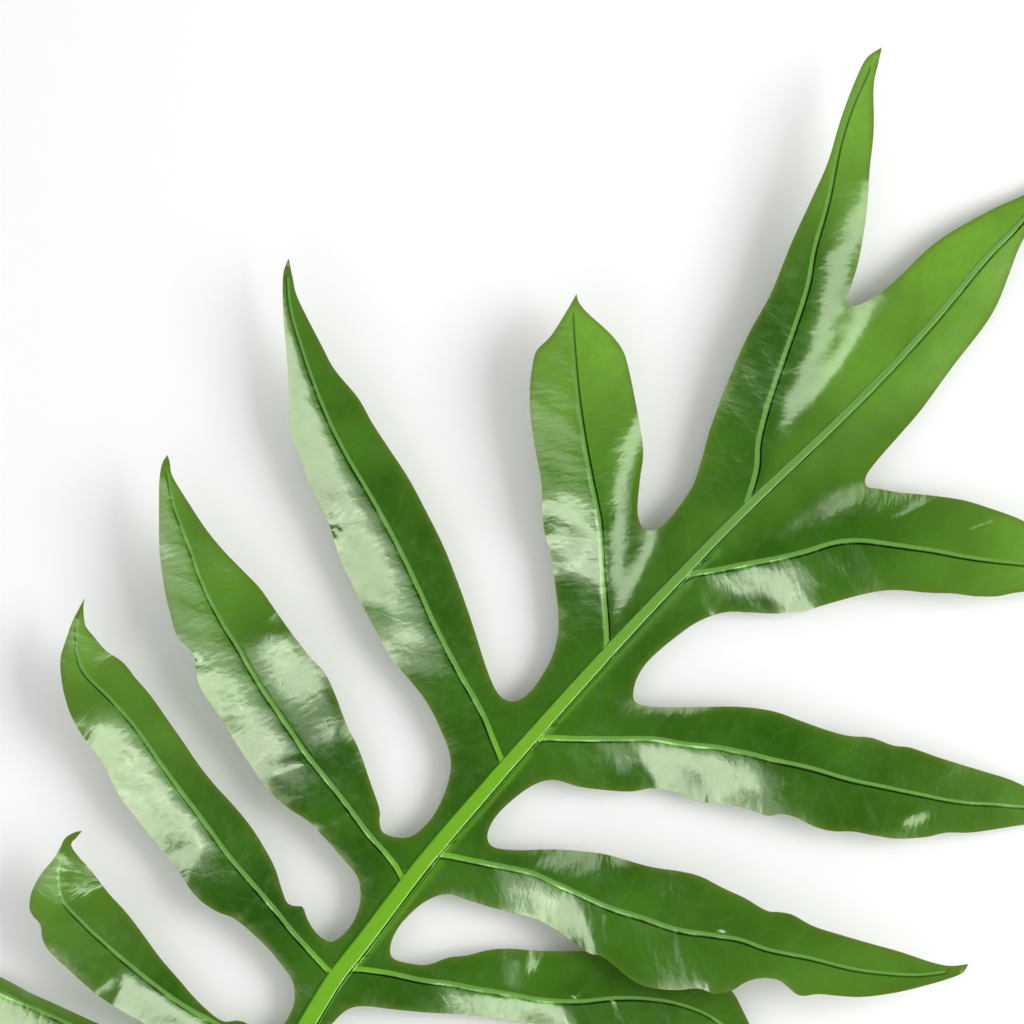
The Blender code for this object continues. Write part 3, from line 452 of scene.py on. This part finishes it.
def leafSheet():
    # points of the flat leaf: its margin, rows along the ribs and an even fill, as triangles
    margin, veins = flatPattern()
    rowPoints = []
    for name, line in veins.items():
        half = tableAt("ribRadius", line[:, 1]) if name == "tip" else np.ones(len(line))
        places = leafForm["midRibRows"] if name == "tip" else leafForm["lobeRows"]
        for place in (0.0, *places, *(-p for p in places)):
            row = line + acrossOf(line) * (half * place)[:, None]
            rowPoints.append(evenLine(row, leafForm["rowStep"]))
    step = leafForm["fillStep"]
    low, high = margin.min(axis=0), margin.max(axis=0)
    fill = []
    for row, y in enumerate(np.arange(low[1], high[1], step * 0.866)):     # rows of even triangles
        fill.extend((x, y) for x in np.arange(low[0] + (row % 2) * step / 2, high[0], step))
    marginTree, kept = treeOf(margin), [*margin]
    for group in (rowPoints, [np.array(fill)]):
        tree = None if group is rowPoints else treeOf(kept)
        for cloud in group:
            for x, y in cloud[insideOf(cloud, margin)]:
                if marginTree.find((x, y, 0))[2] < leafForm["marginClear"]:
                    continue
                if tree is None or tree.find((x, y, 0))[2] >= 0.62 * step:
                    kept.append((x, y))
    flat = [Vector((float(x), float(y))) for x, y in kept]
    outline = [list(range(len(margin)))]
    verts, _, faces, *_ = delaunay_2d_cdt(flat, [], outline, 1, 0.2)
    plan = np.array([(v.x, v.y) for v in verts])
    triangles = []
    for face in faces:
        triangles.extend((face[0], face[k], face[k + 1]) for k in range(1, len(face) - 1))
    triangles = np.array(triangles)
    a, b, c = (plan[triangles[:, k]] for k in range(3))
    turned = ((b - a)[:, 0] * (c - a)[:, 1] - (b - a)[:, 1] * (c - a)[:, 0]) < 0
    triangles[turned] = triangles[turned][:, ::-1]
    return plan, triangles, margin, veins


def leafField(plan, veins, edgeGap):
    # height of the upper face, thickness and what the material reads, at each point
    names = list(veins)
    fine = {name: evenLine(line, 1.0) for name, line in veins.items()}
    reach = {name: nearestOn(plan, line) for name, line in fine.items()}
    distance = np.array([np.abs(reach[name][1]) for name in names])
    own = distance.copy()
    below = reach[leafForm["swung"]][1] < 0
    own[names.index(leafForm["swung"]), below] /= leafForm["swungReach"]
    own[names.index("left2"), reach["left2"][1] > 0] /= leafForm["left2Reach"]
    owner = own.argmin(axis=0)
    ordered = np.sort(distance, axis=0)
    apart = (ordered[1] - ordered[0]) / (ordered[1] + ordered[0] + 0.5)
    ribGap = distance[names.index("tip")]
    openBlend = 1 - ramp(ribGap, *leafForm["openBlend"])
    height, total, rise, rib, under, young, shadeLineShare = np.zeros((7, len(plan)))
    ribAway, shadeLineAway = np.full((2, len(plan)), 3.0)
    for index, name in enumerate(names):
        along, side = reach[name]
        away = distance[index]
        lobe = leafLobes[name]
        if name == "tip":
            crest = tableAt("ribHeight", plan[:, 1])
            half = tableAt("ribRadius", plan[:, 1])
            round_ = half * np.sqrt(np.clip(1 - (away / half) ** 6, 0, None))
            rise = np.maximum(rise, leafForm["midRibRise"] * round_)
            under = np.maximum(under, leafForm["midRibUnder"] * round_)
            rib = np.maximum(rib, 1 - ramp(away / half, 0.75, 1.2))
            groove = (away - half * 1.1) / leafForm["midCreviceHalf"]
            crevice = leafForm["midCrevice"] * np.exp(-groove ** 2)
            mine = (owner == index) | (away < half + 1.0)
            band = side / half
            # painted shade: a dark line along the middle rib's flanks, much stronger on its right flank
            line = (away - half) / leafForm["midCreviceHalf"]
            shadeStrength = np.where(side < 0, 0.9, 0.2) * (1 - ramp(np.abs(line), 2.3, 3.3))
            t = np.interp(plan[:, 1], leafForm["tipSpan"], (0, 1))
        else:
            length = np.linalg.norm(np.diff(fine[name], axis=0), axis=1).sum()
            t = along / length
            root = tableAt("ribHeight", np.array([lobe["vein"][0][1]]))[0]
            middle, end = lobe["heights"]
            pull = 2 * middle - 0.5 * (root + end)
            crest = (1 - t) ** 2 * root + 2 * t * (1 - t) * pull + t ** 2 * end
            crest = root + (crest - root) * ramp(t, -0.12, 0.4)
            half = np.interp(t, (0, 1), leafForm["lobeRibHalf"])
            lowSide = 1 if name in ("left1", "left2", "left3", "left4", "left5") else -1
            down = side * lowSide    # distance towards the half that faces the picture's foot
            middleAt, creviceAt = leafForm["bandPlace"]["left" if "left" in name else "right"]
            slim = np.interp(t, (0.5, 1), (1, 0.6))
            band = (down - middleAt * slim) / half
            round_ = np.sqrt(np.clip(1 - band ** 4, 0, None))
            mine = (owner == index) & (ribGap > tableAt("ribRadius", plan[:, 1]))
            fade = np.where(mine, 1.0, 0.0)
            rise = np.maximum(rise, np.interp(t, (0, 1), leafForm["lobeRibRise"]) * round_ * fade)
            keel = np.interp(t, (0, 1), leafForm["lobeRibUnder"])
            under = np.maximum(under, keel * np.clip(1 - (away / (2 * half)) ** 2, 0, None))
            rib = np.maximum(rib, (1 - ramp(np.abs(band), 0.7, 1.15)) * fade)
            # the groove beside each lobe's rib, and the painted shade line laid along it
            line = (down - creviceAt * slim) / leafForm["creviceHalf"]
            crevice = np.interp(t, (0, 1), leafForm["creviceDepth"]) * np.exp(-line ** 2) * fade
            shadeStrength = np.interp(t, (0, 0.08, 0.6, 1), (0.4, 1, 0.9, 0.4))
            shadeStrength *= 1 - ramp(np.abs(line), 2.3, 4.0)
        leftHalf, rightHalf = halfSlope[name]
        slope = np.where(side > 0, softTable(t, leftHalf), softTable(t, rightHalf))
        place = away / (away + edgeGap + 0.01)
        bow = sum(part * place ** power for power, part in enumerate(leafForm["acrossBow"]))
        fall = slope * bow * (np.hypot(away, leafForm["crestRounding"]) - leafForm["crestRounding"])
        phase = 2 * np.pi * along / leafForm["waveLength"] + index * 1.7 + (side > 0) * 2.1
        swell = leafForm["waveShare"] * lobe["wave"] * np.minimum(away / leafForm["waveAt"], 1.3) ** 2
        weight = np.where(owner == index, 1.0, openBlend) / (away + 0.8) ** 2.5
        height += weight * (crest - fall + swell * np.sin(phase))
        total += weight
        young += weight * youngLobes[name] * ramp(t, 0.35, 1.05)
        rise -= crevice
        ribAway[mine] = np.minimum(np.abs(band), 3)[mine]
        shadeLineAway[mine] = np.clip(line, -3, 3)[mine]
        shadeLineShare[mine] = shadeStrength[mine]
    base = np.maximum(height / total, leafForm["lowest"])
    return {"base": base, "rise": rise, "rib": rib, "under": under, "owner": owner, "names": names,
            "apart": apart, "young": young / total, "reach": reach,
            "ribAway": ribAway, "shadeLineAway": shadeLineAway, "shadeLineShare": shadeLineShare}


def leafMesh():
    plan, triangles, margin, veins = leafSheet()
    closed = np.vstack([margin, margin[:1]])
    edgeGap = np.abs(nearestOn(plan, evenLine(closed, 1.5))[1])
    field = leafField(plan, veins, edgeGap)
    names, owner = field["names"], field["owner"]
    swung = owner == names.index(leafForm["swung"])
    real = plan - swingOf(plan) * swung[:, None]

    folds, second = np.zeros((2, len(plan)))    # second: the thin line beside the middle rib
    for lobe, points, high, half in leafFolds:
        away = np.abs(nearestOn(real, np.array(points, float))[1])
        near = np.exp(-(away / half) ** 2)
        folds += high * near * ((owner == names.index(lobe)) if lobe != "tip" else 1)
        if lobe == "tip":
            second = np.maximum(second, 0.5 * near)
    inner = ramp(edgeGap, 0.0, leafForm["rimWidth"])
    thick = leafForm["rimThickness"] + (leafForm["bladeThickness"] - leafForm["rimThickness"]) * inner
    inner = ramp(edgeGap, 0.0, 1.2)
    least, share = leafForm["leastThickness"], leafForm["aboveShare"]
    above = share * thick + field["rise"] * inner + folds
    top = field["base"] + above
    bottom = field["base"] - (1 - share) * thick - field["under"] * inner + folds
    bottom = np.maximum(np.minimum(bottom, top - least), 0.0)
    top = np.maximum(top, bottom + least)
    top -= leafForm["edgeDrop"] * (1 - ramp(edgeGap, 0.0, 0.5))

    edges = np.sort(np.vstack([triangles[:, pair] for pair in ([0, 1], [1, 2], [2, 0])]), axis=1)
    pairs, count = np.unique(edges, axis=0, return_counts=True)
    open_ = {tuple(e) for e in pairs[count == 1].tolist()}
    n = len(plan)
    rim = []
    for a, b, c in triangles.tolist():
        for p, q in ((a, b), (b, c), (c, a)):
            if (min(p, q), max(p, q)) in open_:
                rim.extend([(q, p, p + n), (q, p + n, q + n)])
    faces = np.vstack([triangles, triangles[:, ::-1] + n, np.array(rim)])
    points = np.vstack([np.column_stack([real, top]), np.column_stack([real, bottom])])
    shift = np.array([*(-(points[:, :2].min(axis=0) + points[:, :2].max(axis=0)) / 2), 0.0])
    points = (points + shift) * mm
    mesh = bpy.data.meshes.new("leafFine")
    mesh.from_pydata(points.tolist(), [], faces.tolist())
    mesh.validate()

    faceOwner = owner[triangles[:, 0]]
    allOwner = np.concatenate([faceOwner, faceOwner, owner[np.array(rim)[:, 1] % n]])
    corners = faces.reshape(-1) % n
    cornerOwner = np.repeat(allOwner, 3)
    along = np.array([field["reach"][name][0] for name in names])
    side = np.array([field["reach"][name][1] for name in names])
    uv = np.column_stack([along[cornerOwner, corners] * 0.01 + cornerOwner * 1.7,
                          side[cornerOwner, corners] * 0.01 + 0.5])
    layer = mesh.uv_layers.new(name="veinMap")
    layer.data.foreach_set("uv", uv.astype(np.float32).reshape(-1))
    edge = np.exp(-edgeGap / 0.55)
    inside = ramp(edgeGap, 0.0, 2.5) * (1 - field["rib"])
    row = np.arange(n)
    nearRib = 1 - ramp(np.abs(field["reach"]["tip"][1]), 2.0, 14.0)
    shares = {
        "ribShare": field["rib"], "ribAway": field["ribAway"], "shadeLineAway": field["shadeLineAway"],
        "shadeLineShare": field["shadeLineShare"], "secondShare": second, "edgeShare": edge,
        "bladeShare": inside, "youngShare": field["young"],
        "rootShare": (1 - ramp(real[:, 1], -10.0, 75.0)) * nearRib,
        "veinAlong": along[owner, row] * mm, "veinAway": side[owner, row] * mm,
        "quiltShare": ramp(field["apart"], 0.05, 0.4),
    }
    for name, values in shares.items():
        data = mesh.attributes.new(name, "FLOAT", "POINT")
        data.data.foreach_set("value", np.tile(values, 2).astype(np.float32))
    data = mesh.attributes.new("underside", "FLOAT", "FACE")
    below = np.repeat([0.0, 1.0, 0.0], [len(triangles), len(triangles), len(rim)])
    data.data.foreach_set("value", below.astype(np.float32))
    print("leaf: %d triangles, %d points" % (len(faces), len(points)))
    return mesh, shift


class Nodes:
    # short ways to place and join shader nodes in one tree
    def __init__(self, tree):
        self.tree, self.nodes, self.links = tree, tree.nodes, tree.links

    def put(self, socket, value):
        if isinstance(value, bpy.types.NodeSocket):
            self.links.new(value, socket)
        elif value is not None:
            socket.default_value = value

    def math(self, kind, a, b=None):
        node = self.nodes.new("ShaderNodeMath")
        node.operation = kind
        self.put(node.inputs[0], a)
        self.put(node.inputs[1], b)
        return node.outputs[0]

    def mix(self, share, a, b):
        node = self.nodes.new("ShaderNodeMix")
        node.data_type = "RGBA"
        self.put(node.inputs[0], share)
        self.put(node.inputs[6], a)
        self.put(node.inputs[7], b)
        return node.outputs[2]

    def ramp(self, value, low, high, start=0.0, end=1.0):
        node = self.nodes.new("ShaderNodeMapRange")
        node.interpolation_type = "SMOOTHSTEP"
        for socket, given in zip(node.inputs, (value, low, high, start, end)):
            self.put(socket, given)
        return node.outputs[0]

    def attribute(self, name):
        node = self.nodes.new("ShaderNodeAttribute")
        node.attribute_name = name
        return node.outputs["Fac"]

    def noise(self, vector, scale, detail=2.0, rough=0.5):
        node = self.nodes.new("ShaderNodeTexNoise")
        self.put(node.inputs["Vector"], vector)
        self.put(node.inputs["Scale"], scale)
        self.put(node.inputs["Detail"], detail)
        self.put(node.inputs["Roughness"], rough)
        return node.outputs["Fac"]


def addSockets(tree, way, kind, *names):
    return [tree.interface.new_socket(name, in_out=way, socket_type="NodeSocket" + kind)
            for name in names]


# Fine relief that follows a rule: wrinkles all over the blade, and a soft quilting between the
# side veins of each lobe
reliefValues = {"Wrinkle Height": 0.00008, "Wrinkle Size": 0.0085, "Quilt Height": 0.00002,
                "Quilt Spacing": 0.0078, "Quilt Slant": 0.75, "Seed": 7.0}


def reliefTree():
    tree = bpy.data.node_groups.new("leafRelief", "GeometryNodeTree")
    addSockets(tree, "INPUT", "Geometry", "Geometry")
    addSockets(tree, "INPUT", "Float", *reliefValues)
    addSockets(tree, "INPUT", "Material", "Upper", "Under")
    addSockets(tree, "OUTPUT", "Geometry", "Geometry")
    n, nodes, links = Nodes(tree), tree.nodes, tree.links
    given = nodes.new("NodeGroupInput")

    def read(name):
        node = nodes.new("GeometryNodeInputNamedAttribute")
        node.data_type = "FLOAT"
        node.inputs["Name"].default_value = name
        return node.outputs["Attribute"]

    place = nodes.new("GeometryNodeInputPosition")
    apart = nodes.new("ShaderNodeSeparateXYZ")
    links.new(place.outputs[0], apart.inputs[0])
    flat = nodes.new("ShaderNodeCombineXYZ")    # the same wrinkle on both faces of the blade
    links.new(apart.outputs[0], flat.inputs[0])
    links.new(apart.outputs[1], flat.inputs[1])
    noise = nodes.new("ShaderNodeTexNoise")
    noise.noise_dimensions = "4D"
    noise.inputs["Detail"].default_value = 3.0
    links.new(flat.outputs[0], noise.inputs["Vector"])
    links.new(given.outputs["Seed"], noise.inputs["W"])
    links.new(n.math("DIVIDE", 1.0, given.outputs["Wrinkle Size"]), noise.inputs["Scale"])
    wrinkle = n.math("MULTIPLY", n.math("SUBTRACT", noise.outputs[0], 0.5), 2.0)    # up and down
    wrinkle = n.math("MULTIPLY", wrinkle, given.outputs["Wrinkle Height"])
    away = n.math("ABSOLUTE", read("veinAway"))
    run = n.math("SUBTRACT", read("veinAlong"), n.math("MULTIPLY", away, given.outputs["Quilt Slant"]))
    turn = n.math("MULTIPLY", n.math("DIVIDE", run, given.outputs["Quilt Spacing"]), 2 * math.pi)
    quilt = n.math("MULTIPLY", n.math("SINE", turn), given.outputs["Quilt Height"])
    quilt = n.math("MULTIPLY", quilt, read("quiltShare"))
    lift = n.math("MULTIPLY", n.math("ADD", wrinkle, quilt), read("bladeShare"))
    offset = nodes.new("ShaderNodeCombineXYZ")
    links.new(lift, offset.inputs[2])
    move = nodes.new("GeometryNodeSetPosition")
    links.new(given.outputs["Geometry"], move.inputs["Geometry"])
    links.new(offset.outputs[0], move.inputs["Offset"])
    real = nodes.new("GeometryNodeRealizeInstances")
    links.new(move.outputs[0], real.inputs[0])
    first = nodes.new("GeometryNodeSetMaterial")
    links.new(real.outputs[0], first.inputs["Geometry"])
    links.new(given.outputs["Upper"], first.inputs["Material"])
    second = nodes.new("GeometryNodeSetMaterial")
    links.new(first.outputs[0], second.inputs["Geometry"])
    links.new(n.math("GREATER_THAN", read("underside"), 0.5), second.inputs["Selection"])
    links.new(given.outputs["Under"], second.inputs["Material"])
    result = nodes.new("NodeGroupOutput")
    links.new(second.outputs[0], result.inputs[0])
    return tree


def bakeRelief(mesh, upper, under):
    tree = reliefTree()
    rough = addObject("leafRough", mesh)
    relief = rough.modifiers.new("relief", "NODES")
    relief.node_group = tree
    given = {**reliefValues, "Upper": upper, "Under": under}
    for item in tree.interface.items_tree:
        if item.in_out == "INPUT" and item.name in given:
            relief[item.identifier] = given[item.name]
    graph = bpy.context.evaluated_depsgraph_get()
    done = bpy.data.meshes.new_from_object(rough.evaluated_get(graph))
    bpy.data.objects.remove(rough, do_unlink=True)
    done.name = "leafFine"
    done.shade_smooth()
    done.set_sharp_from_angle(angle=math.radians(leafForm["sharpAngle"]))
    leaf = addObject("leafFine", done)
    print("leaf relief: %d triangles" % len(done.polygons))
    return leaf


# the fine net of veins and the side veins that leave each midvein: two masks, sizes in mm
veinValues = {"Net Size": 3.0, "Side Spacing": 7.8, "Slant": 0.75, "Sharpness": 0.16}


def veinGroup():
    group = bpy.data.node_groups.new("fineVeins", "ShaderNodeTree")
    addSockets(group, "INPUT", "Vector", "Vein Map")
    for socket in addSockets(group, "INPUT", "Float", *veinValues):
        socket.default_value = veinValues[socket.name]
    addSockets(group, "OUTPUT", "Float", "Net", "Side")
    n = Nodes(group)
    given = group.nodes.new("NodeGroupInput")
    parts = group.nodes.new("ShaderNodeSeparateXYZ")
    n.links.new(given.outputs["Vein Map"], parts.inputs[0])
    along = n.math("MULTIPLY", parts.outputs[0], 100.0)    # back to mm
    away = n.math("MULTIPLY", n.math("SUBTRACT", parts.outputs[1], 0.5), 100.0)
    bend = n.noise(given.outputs["Vein Map"], 22.0, 2.0)
    wander = n.math("MULTIPLY", n.math("SUBTRACT", bend, 0.5), 5.0)
    far = n.math("ABSOLUTE", away)
    run = n.math("SUBTRACT", along, n.math("MULTIPLY", far, given.outputs["Slant"]))
    run = n.math("ADD", run, wander)
    cell = n.math("FRACT", n.math("DIVIDE", run, given.outputs["Side Spacing"]))
    line = n.math("ABSOLUTE", n.math("SUBTRACT", cell, 0.5))
    side = n.ramp(line, 0.0, n.math("DIVIDE", 0.55, given.outputs["Side Spacing"]), 1.0, 0.0)
    spot = group.nodes.new("ShaderNodeCombineXYZ")
    n.put(spot.inputs[0], n.math("ADD", along, wander))
    n.put(spot.inputs[1], n.math("MULTIPLY", n.math("ADD", away, n.math("MULTIPLY", wander, 0.5)), 1.35))
    net = group.nodes.new("ShaderNodeTexVoronoi")
    net.feature = "DISTANCE_TO_EDGE"
    n.put(net.inputs["Vector"], spot.outputs[0])
    n.put(net.inputs["Scale"], n.math("DIVIDE", 1.0, given.outputs["Net Size"]))
    mesh = n.ramp(net.outputs["Distance"], 0.0, given.outputs["Sharpness"], 1.0, 0.0)
    result = group.nodes.new("NodeGroupOutput")
    n.links.new(mesh, result.inputs["Net"])
    n.links.new(side, result.inputs["Side"])
    return group


upperLook = {
    "dark": (0.019, 0.08, 0.002, 1), "mid": (0.046, 0.150, 0.006, 1),
    "young": (0.175, 0.375, 0.034, 1), "rib": (0.155, 0.40, 0.013, 1),
    # crevice is painted shade: the near-black green laid along the grooves beside the ribs
    "highRib": (0.125, 0.29, 0.05, 1), "crevice": (0.010, 0.042, 0.001, 1),
    "edge": (0.10, 0.16, 0.015, 1), "roughness": 0.18, "paintedShadeMetal": 0.9,
    "netHeight": 0.000003, "sideHeight": 0.000006, "grainHeight": 0.00006,
}
underLook = {
    "base": (0.14, 0.27, 0.055, 1), "pale": (0.22, 0.37, 0.11, 1), "rib": (0.34, 0.50, 0.13, 1),
    "roughness": 0.52, "netHeight": 0.00010, "sideHeight": 0.00014,
}


def leafMaterial(name, look, upper, veins):
    material = bpy.data.materials.new(name)
    material.use_nodes = True
    tree = material.node_tree
    n = Nodes(tree)
    shader = tree.nodes["Principled BSDF"]
    place = tree.nodes.new("ShaderNodeTexCoord").outputs["Object"]
    mapNode = tree.nodes.new("ShaderNodeUVMap")
    mapNode.uv_map = "veinMap"
    group = tree.nodes.new("ShaderNodeGroup")
    group.node_tree = veins
    n.links.new(mapNode.outputs[0], group.inputs["Vein Map"])
    net, side = group.outputs["Net"], group.outputs["Side"]
    blade = n.attribute("bladeShare")
    broad = n.noise(place, 38.0, 3.0)
    small = n.noise(place, 420.0, 3.0, 0.6)
    height = n.math("MULTIPLY", net, look["netHeight"])
    height = n.math("ADD", height, n.math("MULTIPLY", side, look["sideHeight"]))
    height = n.math("MULTIPLY", n.math("MULTIPLY", height, blade), n.attribute("quiltShare"))
    if upper:
        base = n.mix(n.ramp(broad, 0.3, 0.75), look["dark"], look["mid"])
        ageing = n.math("MULTIPLY", n.attribute("youngShare"), n.ramp(broad, 0.2, 0.7, 0.45, 1.0))
        base = n.mix(ageing, base, look["young"])
        base = n.mix(n.math("MULTIPLY", n.ramp(small, 0.35, 0.8), 0.25), base, look["mid"])
        base = n.mix(n.math("MULTIPLY", n.math("MULTIPLY", side, 0.05), blade), base, look["young"])
        base = n.mix(n.math("MULTIPLY", n.attribute("edgeShare"), 0.75), base, look["edge"])
        band = n.ramp(n.attribute("ribAway"), 0.7, 1.15, 1.0, 0.0)
        ribGreen = n.mix(n.attribute("rootShare"), look["highRib"], look["rib"])
        base = n.mix(n.math("MAXIMUM", band, n.attribute("secondShare")), base, ribGreen)
        # painted shade: dark lines in the grooves beside the ribs, strongest down the middle rib's right
        # flank, made near-metallic so they mirror nothing pale
        paintedShadeLine = n.ramp(n.math("ABSOLUTE", n.attribute("shadeLineAway")), 0.3, 1.35, 1.0, 0.0)
        paintedShadeLine = n.math("MULTIPLY", paintedShadeLine, n.attribute("shadeLineShare"))
        base = n.mix(n.math("MULTIPLY", paintedShadeLine, 0.92), base, look["crevice"])
        n.links.new(n.math("MULTIPLY", paintedShadeLine, look["paintedShadeMetal"]), shader.inputs["Metallic"])
        # a faint grain that runs out from each vein
        stretch = tree.nodes.new("ShaderNodeMapping")
        stretch.inputs["Scale"].default_value = (80.0, 30.0, 1.0)
        n.links.new(mapNode.outputs[0], stretch.inputs["Vector"])
        streak = n.noise(stretch.outputs[0], 1.0, 1.0, 0.4)
        height = n.math("ADD", height, n.math("MULTIPLY", streak, look["grainHeight"]))
    else:
        base = n.mix(n.ramp(broad, 0.3, 0.75), look["base"], look["pale"])
        lines = n.math("MULTIPLY", n.math("MAXIMUM", n.math("MULTIPLY", net, 0.5), side), blade)
        base = n.mix(n.math("MULTIPLY", lines, 0.5), base, look["rib"])
        base = n.mix(n.attribute("ribShare"), base, look["rib"])
    rough = n.ramp(small, 0.3, 0.75, look["roughness"] - 0.03, look["roughness"] + 0.04)
    n.links.new(base, shader.inputs["Base Color"])
    n.links.new(rough, shader.inputs["Roughness"])
    shader.inputs["IOR"].default_value = 1.5
    bump = tree.nodes.new("ShaderNodeBump")
    bump.inputs["Strength"].default_value = 1.0
    bump.inputs["Distance"].default_value = 1.0
    n.links.new(height, bump.inputs["Height"])
    n.links.new(bump.outputs[0], shader.inputs["Normal"])
    return material


veins = veinGroup()
leafUpper = leafMaterial("leafUpper", upperLook, True, veins)
leafUnder = leafMaterial("leafUnder", underLook, False, veins)
print("materials made")
sheet, shift = leafMesh()
leaf = bakeRelief(sheet, leafUpper, leafUnder)
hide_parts("leaf")
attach(leaf, "root")

# The studio: a white floor, a soft key from the photo's right, softboxes that only the gloss
# sees, a weak fill, and the camera straight above
studio = {"floor": (0.9, 0.9, 0.9, 1), "world": 0.70,
          "key": 6.6, "keySize": 0.6, "keyFrom": (0.72, 0.70),
          "fill": 1.4, "fillSize": 0.9, "fillFrom": (0.1, -0.62, 0.75), "sheenTint": (0.90, 1.0, 0.78),
          "turn": 42.0, "lens": 300.0, "sensor": 36.0,
          "width": 225.3, "look": (-34.1, 41.8), "height": 9.0}     # what the picture shows, in mm
# each softbox: angle round the picture and from straight above in degrees, size in m, power
sheens = {"low": (256, 34, (1.3, 0.74), 43.0), "left": (204, 34, (1.3, 0.74), 39.0),
          "right": (322, 38, (1.4, 0.75), 32.0), "lowVeil": (238, 21, (1.0, 0.5), 5.0),
          "high": (112, 27, (0.9, 0.5), 9.0)}


def floorPiece():
    mesh = bpy.data.meshes.new("floor")
    corners = [(x, y, -0.0002) for x, y in ((-3, -3), (3, -3), (3, 3), (-3, 3))]
    mesh.from_pydata(corners, [], [(0, 1, 2, 3)])
    floor = addObject("floor", mesh)
    material = bpy.data.materials.new("floorWhite")
    material.use_nodes = True
    shader = material.node_tree.nodes["Principled BSDF"]
    shader.inputs["Base Color"].default_value = studio["floor"]
    shader.inputs["Roughness"].default_value = 1.0
    shader.inputs["Specular IOR Level"].default_value = 0.0
    mesh.materials.append(material)


def areaLight(name, direction, distance, size, power, target, glossOnly=False):
    light = bpy.data.lights.new(name, "AREA")
    light.shape = "RECTANGLE"
    light.size, light.size_y = size
    light.energy = power
    lamp = addObject(name, light)
    way = Vector(direction).normalized()
    lamp.location = Vector(target) + way * distance
    lamp.rotation_euler = way.to_track_quat("Z", "Y").to_euler()
    if glossOnly:
        light.color = studio["sheenTint"]
        lamp.visible_diffuse = False
        lamp.visible_transmission = False
    else:
        lamp.visible_glossy = False


floorPiece()
lookX, lookY = studio["look"]
middle = ((lookX + shift[0]) * mm, (lookY + shift[1]) * mm, studio["height"] * mm)
turn = math.radians(studio["turn"])
right = Vector((math.cos(turn), math.sin(turn), 0))
up = Vector((-math.sin(turn), math.cos(turn), 0))
keySide, keyUp = studio["keyFrom"]
keyWay = right * keySide + Vector((0, 0, keyUp))
areaLight("key", keyWay, 1.0, (studio["keySize"],) * 2, studio["key"], middle)
for name, (round_, lean, size, power) in sheens.items():
    round_, lean = math.radians(round_), math.radians(lean)
    way = (right * math.cos(round_) + up * math.sin(round_)) * math.sin(lean)
    way += Vector((0, 0, math.cos(lean)))
    areaLight(name + "Sheen", way, 2.5, size, power, middle, glossOnly=True)
areaLight("fill", studio["fillFrom"], 1.3, (studio["fillSize"],) * 2, studio["fill"], middle)
world = bpy.data.worlds.new("studio")
world.use_nodes = True
background = world.node_tree.nodes["Background"].inputs
background["Color"].default_value = (1, 1, 1, 1)
background["Strength"].default_value = studio["world"]
world.cycles_visibility.glossy = False
bpy.context.scene.world = world
camera = bpy.data.cameras.new("camera")
camera.lens = studio["lens"]
camera.sensor_width = studio["sensor"]
camera.clip_end = 20.0
eye = addObject("camera", camera)
far = studio["width"] * mm * studio["lens"] / studio["sensor"]
eye.location = (middle[0], middle[1], middle[2] + far)
eye.rotation_euler = (0, 0, turn)
bpy.context.scene.camera = eye
print("studio made")
